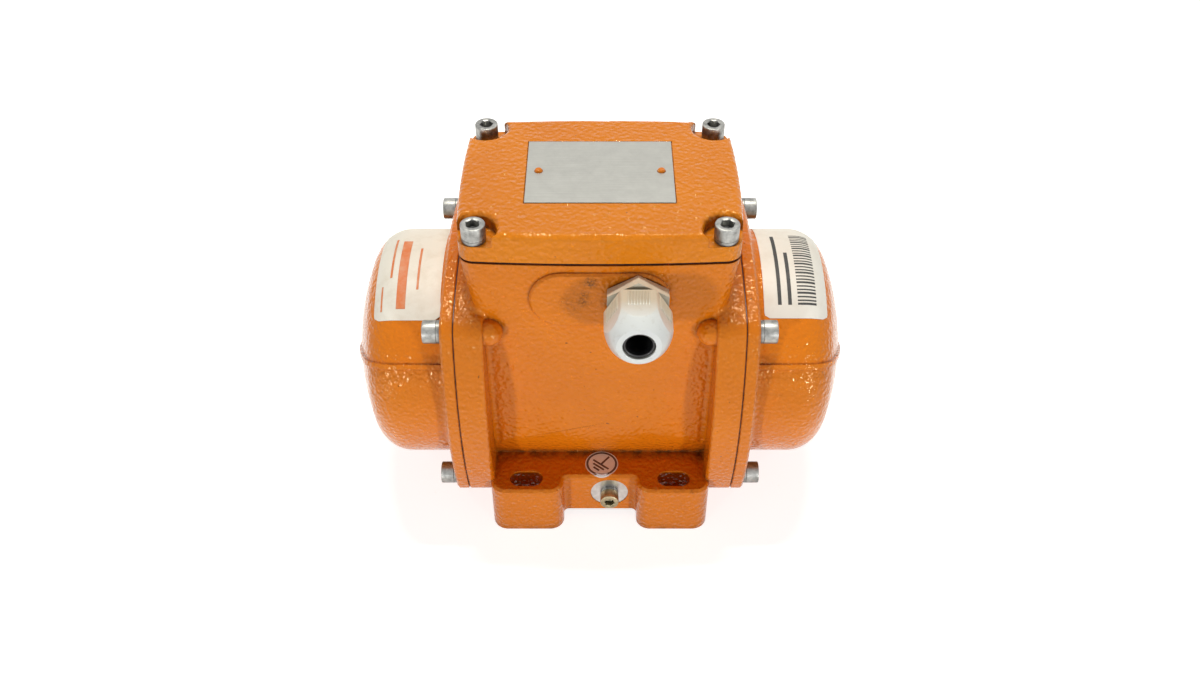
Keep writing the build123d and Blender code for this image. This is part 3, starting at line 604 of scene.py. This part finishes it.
@dataclass
class Fasteners:
    """Visible screws of the lid, covers and ground terminal, in place of the plain CAD ones."""

    zinc: bpy.types.Material
    yellow: bpy.types.Material
    m6: SocketScrew = SocketScrew(5.0 * MM, 6.0 * MM, 3.0 * MM, 20.0 * MM, 5.0 * MM)
    m5: SocketScrew = SocketScrew(4.25 * MM, 5.0 * MM, 2.5 * MM, 13.7 * MM, 4.0 * MM, pitch=0.8 * MM)
    lid_turns: tuple[float, ...] = (8.0, 41.0, -17.0, 26.0)
    cover_turns: tuple[float, ...] = (12.0, 33.0, -9.0, 48.0)

    def build(self) -> None:
        """Builds all three sets."""
        self.lid_set()
        for side in Side:
            self.cover_set(side)
        self.ground()

    def lid_set(self) -> None:
        """Four screws that hold the lid."""
        low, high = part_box("lid_screws")
        inset = self.m6.head_radius
        shape = Shape("lid_socket_screws")
        places = [(x, y) for x in (low[0] + inset, high[0] - inset) for y in (low[1] + inset, high[1] - inset)]
        for (x, y), turn in zip(places, self.lid_turns):
            self.m6.add(shape, seat_at((x, y, high[2] - self.m6.head_height), (0, 0, 1), (0, 1, 0)), turn)
        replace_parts(shape.build(self.zinc, "stator"), "lid_screws")

    def cover_set(self, side: Side) -> None:
        """Builds the four screws that hold one cover.

        Args:
            side: End of the motor.
        """
        node = f"{side.prefix}_cover_screws"
        low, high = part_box(node)
        inset = self.m6.head_radius
        outer = high[0] if side is Side.RIGHT else low[0]
        x = outer - side.value * self.m6.head_height
        shape = Shape(f"{side.prefix}_cover_socket_screws")
        places = [(y, z) for y in (low[1] + inset, high[1] - inset) for z in (low[2] + inset, high[2] - inset)]
        for (y, z), turn in zip(places, self.cover_turns):
            self.m6.add(shape, seat_at((x, y, z), (side.value, 0, 0)), turn)
        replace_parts(shape.build(self.zinc, "stator"), node)

    def ground(self) -> None:
        """The ground terminal's screw."""
        low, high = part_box("ground_screw")
        shape = Shape("ground_socket_screw")
        centre = ((low[0] + high[0]) / 2, low[1] + self.m5.head_height, (low[2] + high[2]) / 2)
        self.m5.add(shape, seat_at(centre, (0, -1, 0)), 18.0)
        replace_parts(shape.build(self.yellow, "stator"), "ground_screw")


@dataclass(frozen=True)
class CoverForm:
    """Outer shape of a cover, repeated from the CAD in metres."""

    axis_height: float = 65.7 * MM
    radius: float = 52.1 * MM
    end: float = 110.4 * MM
    crown: float = 7.2 * MM
    shoulder: float = 16.0 * MM

    def radius_at(self, x: float) -> float:
        """Outer radius of the cover.

        Args:
            x: Distance from the middle of the motor.

        Returns:
            The radius there.
        """
        shoulder_x = self.end - self.crown - self.shoulder
        if x <= shoulder_x:
            return self.radius
        drop = self.shoulder**2 - (x - shoulder_x)**2
        return self.radius - self.shoulder + math.sqrt(max(drop, 0.0))

    def point(self, x: float, angle: float, proud: float, side: Side) -> Vector:
        """Point on the cover, proud of it, at an angle up from the front."""
        radius = self.radius_at(x) + proud
        return Vector((side.value * x, -radius * math.cos(angle), self.axis_height + radius * math.sin(angle)))


@dataclass
class CoverLabel:
    """Paper label wrapped over the top of a cover, ruled with plain bars."""

    form: CoverForm
    side: Side
    near: float
    far: float
    start: float
    stop: float
    paper: bpy.types.Material
    inks: dict[str, bpy.types.Material]
    corner: float = 2.4 * MM
    thickness: float = 0.14 * MM
    ink_height: float = 0.03 * MM
    cell: float = 1.2 * MM
    curl_reach: float = 9.0 * MM
    lift: float = 0.0
    bars: tuple[tuple[float, float, float, float, str], ...] = ()

    def place(self, u: float, v: float, proud: float) -> Vector:
        """Point of the label.

        Args:
            u: Distance along the shaft from the label's near edge, in metres.
            v: Distance up round the cover from the label's lower edge, in metres.
            proud: Height over the cover.

        Returns:
            The point in the row frame.
        """
        x = self.near + u
        angle = math.radians(self.start) + v / self.form.radius
        curl = self.lift * max(0.0, 1.0 - math.hypot(u, v) / self.curl_reach) ** 2
        return self.form.point(x, angle, proud + curl, self.side)

    @property
    def width(self) -> float:
        """Size along the shaft."""
        return self.far - self.near

    @property
    def length(self) -> float:
        """Size round the cover."""
        return math.radians(self.stop - self.start) * self.form.radius

    def build(self) -> None:
        """Builds the paper and its printed bars."""
        name = f"{self.side.prefix}_cover_label"
        sheet = Shape(name)
        self.patch(sheet, 0.0, self.width, 0.0, self.length, self.thickness, self.corner)
        sheet.build(self.paper, "stator")
        by_ink: dict[str, Shape] = {}
        for u0, u1, v0, v1, ink in self.bars:
            shape = by_ink.setdefault(ink, Shape(f"{name}_{ink}"))
            self.patch(shape, u0, u1, v0, v1, self.thickness + self.ink_height, 0.0)
        for ink, shape in by_ink.items():
            shape.build(self.inks[ink], "stator")

    def patch(self, shape: Shape, u0: float, u1: float, v0: float, v1: float, proud: float, corner: float) -> None:
        """Adds a curved rectangle with rounded corners, closed by a thin rim.

        Args:
            shape: Shape that receives it.
            u0: Near edge along the shaft.
            u1: Far edge along the shaft.
            v0: Lower edge.
            v1: Upper edge.
            proud: Height over the cover.
            corner: Corner radius.
        """
        rows = max(2, round((v1 - v0) / self.cell))
        columns = max(2, round((u1 - u0) / self.cell))
        grid = []
        for row in range(rows + 1):
            v = v0 + (v1 - v0) * row / rows
            inset = self.inset(min(v - v0, v1 - v), corner)
            us = [u0 + inset + (u1 - u0 - 2 * inset) * column / columns for column in range(columns + 1)]
            grid.append((shape.ring(self.place(u, v, proud) for u in us),
                         shape.ring(self.place(u, v, proud - self.thickness * 0.9) for u in us)))
        for (top, under), (next_top, next_under) in zip(grid, grid[1:]):
            shape.bridge(top, next_top, closed=False)
            shape.bridge(under, next_under, closed=False)
            for edge in (0, -1):
                shape.faces.append((top[edge], under[edge], next_under[edge], next_top[edge]))
        for top, under in (grid[0], grid[-1]):
            shape.bridge(top, under, closed=False)

    @staticmethod
    def inset(from_edge: float, corner: float) -> float:
        """How far a rounded corner draws the side in.

        Args:
            from_edge: Distance from the end edge.
            corner: Corner radius.

        Returns:
            The distance that the side moves in.
        """
        if from_edge >= corner:
            return 0.0
        return corner - math.sqrt(max(corner**2 - (corner - from_edge) ** 2, 0.0))


@dataclass
class EarthSign:
    """Round earth sign stuck on the front foot web."""

    paper: bpy.types.Material
    ink: bpy.types.Material
    centre: tuple[float, float] = (0.8 * MM, -44.0 * MM)
    top: float = 27.0 * MM
    edge_y: float = -50.5 * MM
    radius: float = 7.7 * MM
    ring_radius: float = 6.7 * MM
    line: float = 0.95 * MM
    turn: float = -39.0
    thickness: float = 0.12 * MM
    ink_height: float = 0.03 * MM
    rings: int = 8
    segments: int = 64
    strokes: tuple[tuple[float, float, float, float], ...] = (
        (0.0, 2.6, 0.0, 3.0), (0.0, -0.6, 4.6, 0.0), (0.0, -2.3, 3.2, 0.0), (0.0, -4.0, 1.7, 0.0),
    )

    def place(self, x: float, y: float, height: float) -> Vector:
        """Point of the sign, bent down over the web's broken edge.

        Args:
            x: Distance right of the sign's centre.
            y: Distance up from the sign's centre.
            height: Height over the web.

        Returns:
            The point in the row frame.
        """
        at_x = self.centre[0] + x
        at_y = self.centre[1] + y
        drop = max(0.0, self.edge_y - at_y)
        return Vector((at_x, at_y, self.top + height - drop * 0.85))

    def build(self) -> None:
        """Builds the disc, its ring and the symbol."""
        disc = Shape("earth_sign")
        rows = []
        for step in range(self.rings + 1):
            radius = self.radius * step / self.rings
            rows.append(disc.ring(self.place(radius * math.cos(a), radius * math.sin(a), self.thickness)
                                  for a in self.angles(self.segments)))
        rows.append(disc.ring(self.place(self.radius * math.cos(a), self.radius * math.sin(a), 0.01 * MM)
                              for a in self.angles(self.segments)))
        for lower, upper in zip(rows, rows[1:]):
            disc.bridge(lower, upper)
        disc.build(self.paper, "stator")
        print_layer = Shape("earth_sign_print")
        self.circle(print_layer)
        for line in self.strokes:
            self.stroke(print_layer, *(size * MM for size in line))
        print_layer.build(self.ink, "stator")

    @staticmethod
    def angles(count: int) -> list[float]:
        """Equal steps round a circle."""
        return [2 * math.pi * i / count for i in range(count)]

    def circle(self, shape: Shape) -> None:
        """Adds the printed ring.

        Args:
            shape: Shape that receives it.
        """
        rows = [shape.ring(self.place(radius * math.cos(a), radius * math.sin(a), self.thickness + self.ink_height)
                           for a in self.angles(self.segments))
                for radius in (self.ring_radius - self.line / 2, self.ring_radius + self.line / 2)]
        shape.bridge(rows[0], rows[1])

    def stroke(self, shape: Shape, x: float, y: float, half_x: float, half_y: float) -> None:
        """Adds one straight line of the symbol, turned with it.

        Args:
            shape: Shape that receives it.
            x: Centre of the line, before the turn.
            y: Centre of the line, before the turn.
            half_x: Half length along X, or 0 for the line's own width.
            half_y: Half length along Y, or 0 for the line's own width.
        """
        turn = math.radians(self.turn)
        wide = (half_x or self.line / 2, half_y or self.line / 2)
        corners = [(x - wide[0], y - wide[1]), (x + wide[0], y - wide[1]), (x + wide[0], y + wide[1]),
                   (x - wide[0], y + wide[1])]
        shape.cap(shape.ring(self.place(px * math.cos(turn) - py * math.sin(turn),
                                        px * math.sin(turn) + py * math.cos(turn), self.thickness + self.ink_height)
                             for px, py in corners))


@dataclass
class GroundSpot:
    """Bare faced ring round the ground screw."""

    finish: bpy.types.Material
    centre: Point = (4.4 * MM, -51.4 * MM, 15.7 * MM)
    outer: float = 8.66 * MM
    inner: float = 2.56 * MM
    skin: float = 0.05 * MM

    def build(self) -> None:
        """Builds the ring."""
        shape = Shape("ground_spot")
        seat = seat_at(self.centre, (0, -1, 0))
        shape.lathe(seat, [(self.inner, 0.01 * MM), (self.inner, self.skin), (self.outer, self.skin),
                           (self.outer, 0.01 * MM)], 72)
        shape.build(self.finish, "stator")


@dataclass
class GlandRibs:
    """Grip ribs moulded on the six flats of the gland nut."""

    finish: bpy.types.Material
    origin: Point = (15.3 * MM, -45.5 * MM, 127.6 * MM)
    start: float = 7.9 * MM
    stop: float = 16.6 * MM
    flats: float = 24.4 * MM
    pitch: float = 1.15 * MM
    count: int = 8
    height: float = 0.48 * MM
    width: float = 0.68 * MM

    def build(self) -> None:
        """Builds all ribs as one piece."""
        shape = Shape("gland_nut_ribs")
        seat = seat_at(self.origin, (0, -1, 0))
        for face in range(6):
            turned = seat @ Matrix.Rotation(math.radians(30 + 60 * face), 4, "Z")
            for rib in range(self.count):
                self.rib(shape, turned, (rib - (self.count - 1) / 2) * self.pitch)
        shape.build(self.finish, "stator")

    def rib(self, shape: Shape, turned: Matrix, along: float) -> None:
        """Adds one rib with a rounded back and sloped ends.

        Args:
            shape: Shape that receives it.
            turned: Frame of the flat that carries it.
            along: Place of the rib across the flat.
        """
        base = self.flats / 2
        steps = ((-0.5, -0.1 * MM), (-0.35, 0.75 * self.height), (0.0, self.height), (0.35, 0.75 * self.height),
                 (0.5, -0.1 * MM))
        rows = []
        for place, share in ((self.start, 0.0), (self.start + 0.5 * MM, 1.0), (self.stop - 1.0 * MM, 1.0),
                             (self.stop, 0.0)):
            rows.append(shape.ring(turned @ Vector((base + (rise * share if rise > 0 else rise),
                                                    along + side * self.width, place)) for side, rise in steps))
        for lower, upper in zip(rows, rows[1:]):
            shape.bridge(lower, upper, closed=False)


@dataclass
class SealLip:
    """Rubber lip of the gland seal, seen in the mouth of the nut."""

    finish: bpy.types.Material
    origin: Point = (15.3 * MM, -45.5 * MM, 127.6 * MM)
    start: float = 23.8 * MM
    stop: float = 26.9 * MM
    outer: float = 6.56 * MM
    inner: float = 5.3 * MM

    def build(self) -> None:
        """Builds the lip with a rounded front."""
        shape = Shape("gland_seal_lip")
        seat = seat_at(self.origin, (0, -1, 0))
        middle = (self.outer + self.inner) / 2
        half = (self.outer - self.inner) / 2
        profile = [(self.inner, self.start)]
        for step in range(9):
            turn = math.radians(180 - 22.5 * step)
            profile.append((middle + half * math.cos(turn), self.stop - half + half * math.sin(turn)))
        profile += [(self.outer, self.start), (self.inner, self.start)]
        shape.lathe(seat, profile, 64)
        shape.build(self.finish, "stator")


@dataclass
class PunchMark:
    """Centre punch mark on the blank cable entry."""

    finish: bpy.types.Material
    centre: Point = (-15.3 * MM, -45.5 * MM, 127.8 * MM)

    def build(self) -> None:
        """Builds the raised burr round the mark."""
        shape = Shape("entry_punch_mark")
        seat = seat_at(self.centre, (0, -1, 0))
        shape.lathe(seat, [(0.0, 0.02 * MM), (0.35 * MM, 0.05 * MM), (0.7 * MM, 0.32 * MM), (1.0 * MM, 0.30 * MM),
                           (1.5 * MM, 0.0)], 24)
        shape.build(self.finish, "stator")


@dataclass(frozen=True)
class Lamp:
    """Rectangular area light that faces the motor."""

    name: str
    place: Point
    size: tuple[float, float]
    power: float
    tint: Colour = (1.0, 1.0, 1.0)
    aim: Point = (0.0, 0.0, 0.08)

    def add(self) -> None:
        """Adds the light to the scene."""
        data = bpy.data.lights.new(self.name, "AREA")
        data.shape = "RECTANGLE"
        data.size, data.size_y = self.size
        data.energy = self.power
        data.color = self.tint
        made = bpy.data.objects.new(self.name, data)
        made.location = self.place
        made.rotation_euler = (Vector(self.aim) - Vector(self.place)).to_track_quat("-Z", "Y").to_euler()
        bpy.context.scene.collection.objects.link(made)


@dataclass
class Studio:
    """Camera at the photograph's view, soft lights and a pale floor."""

    camera_at: Point = (0.0, -400.0 * MM, 426.8 * MM)
    pitch_down: float = 41.98
    lens: float = 34.14
    floor_half: float = 3.0
    floor_glow: float = 0.80
    soft_light: float = 0.15
    lamps: tuple[Lamp, ...] = (
        Lamp("overhead_light", (0.0, 0.24, 1.17), (0.56, 0.045), 10.2, (1.0, 0.96, 0.86)),
        Lamp("front_light", (0.10, -1.50, 0.20), (1.60, 0.14), 1.7),
        Lamp("left_light", (-0.88, -1.22, 0.12), (0.12, 0.15), 6.5),
        Lamp("right_light", (0.88, -1.22, 0.12), (0.12, 0.15), 6.5),
    )

    def build(self) -> None:
        """Builds everything round the object."""
        self.camera()
        self.world()
        self.floor()
        for lamp in self.lamps:
            lamp.add()
        view = bpy.context.scene.view_settings
        view.view_transform = "Standard"

    def camera(self) -> None:
        """Adds the camera."""
        data = bpy.data.cameras.new("photo_camera")
        data.lens = self.lens
        data.sensor_width = 36.0
        data.clip_start = 0.01
        made = bpy.data.objects.new("photo_camera", data)
        made.location = self.camera_at
        made.rotation_euler = (math.radians(90.0 - self.pitch_down), 0.0, 0.0)
        bpy.context.scene.collection.objects.link(made)
        bpy.context.scene.camera = made

    def world(self) -> None:
        """Soft grey surroundings that show white to the camera and in reflections."""
        world = bpy.data.worlds.new("studio")
        world.use_nodes = True
        bpy.context.scene.world = world
        tree = world.node_tree
        tree.nodes.clear()
        path = tree.nodes.new("ShaderNodeLightPath")
        seen = tree.nodes.new("ShaderNodeMath")
        seen.operation = "MAXIMUM"
        direct = tree.nodes.new("ShaderNodeMath")
        direct.operation = "MAXIMUM"
        tree.links.new(path.outputs["Is Camera Ray"], direct.inputs[0])
        tree.links.new(path.outputs["Is Glossy Ray"], direct.inputs[1])
        tree.links.new(direct.outputs[0], seen.inputs[0])
        tree.links.new(path.outputs["Is Transmission Ray"], seen.inputs[1])
        soft = tree.nodes.new("ShaderNodeBackground")
        soft.inputs["Color"].default_value = (1.0, 1.0, 1.0, 1.0)
        soft.inputs["Strength"].default_value = self.soft_light
        white = tree.nodes.new("ShaderNodeBackground")
        white.inputs["Color"].default_value = (1.0, 1.0, 1.0, 1.0)
        white.inputs["Strength"].default_value = 1.0
        mix = tree.nodes.new("ShaderNodeMixShader")
        out = tree.nodes.new("ShaderNodeOutputWorld")
        tree.links.new(seen.outputs[0], mix.inputs[0])
        tree.links.new(soft.outputs[0], mix.inputs[1])
        tree.links.new(white.outputs[0], mix.inputs[2])
        tree.links.new(mix.outputs[0], out.inputs["Surface"])

    def floor(self) -> None:
        """Pale floor that keeps the object's shadow and is white to the camera."""
        mesh = bpy.data.meshes.new("floor")
        half = self.floor_half
        mesh.from_pydata([(-half, -half, 0.0), (half, -half, 0.0), (half, half, 0.0), (-half, half, 0.0)],
                         [], [(0, 1, 2, 3)])
        made = bpy.data.objects.new("floor", mesh)
        bpy.context.scene.collection.objects.link(made)
        shader = Shader("floor_white")
        path = shader.node("ShaderNodeLightPath")
        direct = shader.math("MAXIMUM", path.outputs["Is Camera Ray"], path.outputs["Is Glossy Ray"])
        seen = shader.math("MAXIMUM", direct, path.outputs["Is Transmission Ray"])
        shader.set(Base_Color=(0.80, 0.80, 0.80, 1.0), Roughness=0.9, Emission_Color=(1.0, 1.0, 1.0, 1.0),
                   Emission_Strength=shader.math("MULTIPLY", seen, self.floor_glow), Specular_IOR_Level=0.1)
        made.data.materials.append(shader.material)


@dataclass
class Motor:
    """Finishes for every CAD node, and the pieces that Blender adds."""

    nodes: dict[str, bpy.types.Object]
    grime_marks: tuple[Stain, ...] = (
        # Dark spots on the enamel. The four on the blank entry's boss are smudges and also a painted shadow of the
        # gland; the two by the lid's front corners are dirt and painted shade between lid and housing; the last is a
        # chip on the right foot pad.
        Stain((-3.8 * MM, -45.5 * MM, 137.4 * MM), 3.6 * MM, 1.5),
        Stain((-6.4 * MM, -45.5 * MM, 131.0 * MM), 3.2 * MM, 0.8),
        Stain((-6.9 * MM, -45.5 * MM, 127.2 * MM), 3.4 * MM, 1.0),
        Stain((-13.0 * MM, -45.5 * MM, 126.0 * MM), 9.0 * MM, 0.30),
        Stain((50.25 * MM, -37.2 * MM, 153.2 * MM), 10.5 * MM, 0.7),
        Stain((-50.25 * MM, -37.2 * MM, 153.2 * MM), 10.5 * MM, 0.7),
        Stain((41.8 * MM, -60.7 * MM, 26.2 * MM), 1.6 * MM, 0.95),
    )

    def finishes(self) -> dict[str, bpy.types.Material]:
        """Makes every finish once.

        Returns:
            Each material by its plain name.
        """
        return {
            "enamel": Enamel("orange_enamel", stains_and_shade=self.grime_marks).make(),
            "lid_enamel": Enamel("orange_lid_enamel", colour=(0.765, 0.226, 0.004), peel_depth=0.48 * MM,
                                 cell_scale=560.0).make(),
            "zinc": PlainMetal("zinc_plate", (0.42, 0.42, 0.40), (0.20, 0.20, 0.19), 0.36).make(),
            "yellow": PlainMetal("yellow_zinc_plate", (0.46, 0.40, 0.25), (0.20, 0.17, 0.10), 0.34).make(),
            "sheet": BrushedSheet("brushed_aluminium").make(),
            "nylon": AgedNylon("white_nylon").make(),
            "rubber": Moulding("black_rubber", (0.012, 0.012, 0.013), (0.05, 0.05, 0.05), 0.30, 0.2).make(),
            "iron": PlainMetal("machined_iron", (0.22, 0.22, 0.23), (0.12, 0.12, 0.12), 0.5, 900.0).make(),
            "steel": PlainMetal("ground_steel", (0.58, 0.58, 0.60), (0.40, 0.40, 0.42), 0.24).make(),
            "plate_steel": PlainMetal("flame_cut_steel", (0.30, 0.30, 0.31), (0.17, 0.16, 0.16), 0.48, 700.0).make(),
            "laminations": PlainMetal("steel_laminations", (0.34, 0.34, 0.36), (0.22, 0.22, 0.23), 0.42).make(),
            "aluminium": PlainMetal("cast_aluminium", (0.62, 0.63, 0.64), (0.45, 0.45, 0.46), 0.45).make(),
            "copper": PlainMetal("varnished_copper", (0.55, 0.24, 0.11), (0.30, 0.11, 0.05), 0.32, 2600.0).make(),
            "brass": PlainMetal("plain_brass", (0.68, 0.50, 0.20), (0.42, 0.29, 0.11), 0.34).make(),
            "board": Moulding("dark_moulding", (0.055, 0.038, 0.030), (0.12, 0.10, 0.08), 0.40, 0.3).make(),
        }

    def dress(self, finishes: dict[str, bpy.types.Material]) -> None:
        """Gives every CAD node its finish.

        Args:
            finishes: Each material by its plain name.
        """
        centre = {
            "housing": "enamel", "lid_gasket": "rubber", "terminal_lid": "lid_enamel", "lid_washers": "zinc",
            "lid_screws": "zinc", "lid_plate": "sheet", "plate_rivets": "enamel", "gland_gasket": "rubber",
            "gland_body": "nylon", "gland_nut": "nylon", "gland_seal": "rubber", "ground_washer": "zinc",
            "ground_screw": "yellow", "stator_core": "laminations", "stator_windings": "copper",
            "shaft": "steel", "rotor_core": "laminations", "rotor_end_rings": "aluminium",
            "terminal_board": "board", "terminal_studs": "brass", "board_screws": "zinc",
        }
        ends = {
            "cover_gasket": "rubber", "cover": "enamel", "cover_washers": "zinc", "cover_screws": "zinc",
            "bearing_shield": "iron", "bearing_circlip": "steel", "bearing_outer_ring": "steel",
            "bearing_inner_ring": "steel", "weight_spacer": "steel", "fixed_weight": "plate_steel",
            "fixed_weight_screw": "zinc", "weight_key": "steel", "adjustable_weight": "plate_steel",
            "adjustable_weight_screw": "zinc", "end_washer": "steel", "end_circlip": "steel",
        }
        chosen = dict(centre)
        for side in Side:
            chosen.update({f"{side.prefix}_{node}": finish for node, finish in ends.items()})
        for node, finish in chosen.items():
            for material_slot in self.nodes[node].material_slots:
                material_slot.material = finishes[finish]
            LOG.info("node %s in %s", node, finish)

    def labels(self, form: CoverForm) -> None:
        """Adds the two cover labels, ruled with plain bars.

        Args:
            form: Outer shape of the covers.
        """
        inks = {
            "orange_bars": Moulding("faded_orange_ink", (0.72, 0.20, 0.06), (0.75, 0.45, 0.30), 0.6, 0.5).make(),
            "black_bars": Moulding("black_ink", (0.03, 0.03, 0.03), (0.10, 0.10, 0.10), 0.6, 0.3).make(),
        }
        left = CoverLabel(
            form, Side.LEFT, near=68.2 * MM, far=97.6 * MM, start=51.0, stop=131.0,
            paper=Paper("cream_label", staining=0.45).make(), inks=inks, lift=2.2 * MM,
            bars=(
                (15.5 * MM, 19.5 * MM, 5.0 * MM, 44.0 * MM, "orange_bars"),
                (10.2 * MM, 11.2 * MM, 14.0 * MM, 38.0 * MM, "orange_bars"),
                (22.0 * MM, 23.0 * MM, 20.0 * MM, 46.0 * MM, "orange_bars"),
                (25.6 * MM, 26.4 * MM, 4.0 * MM, 16.0 * MM, "orange_bars"),
            ),
        )
        right = CoverLabel(
            form, Side.RIGHT, near=70.5 * MM, far=98.4 * MM, start=52.0, stop=131.0,
            paper=Paper("white_label", colour=(0.84, 0.82, 0.76), staining=0.3).make(), inks=inks,
            bars=self.ruled_block(),
        )
        left.build()
        right.build()

    @staticmethod
    def ruled_block() -> tuple[tuple[float, float, float, float, str], ...]:
        """Plain bars of the right-hand label: two solid lines and a ruled block.

        Returns:
            Start and end along the shaft, start and end round the cover, and ink of each bar.
        """
        bars = [(6.0 * MM, 7.6 * MM, 6.0 * MM, 48.0 * MM, "black_bars"),
                (10.4 * MM, 12.0 * MM, 6.0 * MM, 34.0 * MM, "black_bars")]
        for step in range(26):
            low = (6.0 + 1.7 * step) * MM
            bars.append((14.6 * MM, 22.8 * MM, low, low + (0.7 + 0.3 * (step % 3 == 0)) * MM, "black_bars"))
        return tuple(bars)

    def build(self) -> None:
        """Dresses the CAD nodes and adds the other pieces."""
        finishes = self.finishes()
        self.dress(finishes)
        Fasteners(finishes["zinc"], finishes["yellow"]).build()
        self.labels(CoverForm())
        sign_paper = Paper("earth_sign_paper", colour=(0.92, 0.90, 0.88), stain=(0.80, 0.68, 0.60),
                           staining=0.15).make()
        sign_ink = Moulding("earth_sign_ink", (0.10, 0.06, 0.06), (0.16, 0.10, 0.09), 0.5, 0.3).make()
        EarthSign(sign_paper, sign_ink).build()
        spot = GroundSpot(TurnedSpot("faced_metal", (4.4 * MM, -51.4 * MM, 15.7 * MM)).make())
        spot.build()
        GlandRibs(finishes["nylon"]).build()
        SealLip(finishes["rubber"]).build()
        PunchMark(finishes["enamel"]).build()


def main() -> None:
    """Builds the studio and the motor round the CAD frame."""
    logging.basicConfig(level=logging.INFO, format="%(message)s")
    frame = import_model()
    Studio().build()
    Motor(frame["nodes"]).build()


if __name__ == "__main__":
    main()
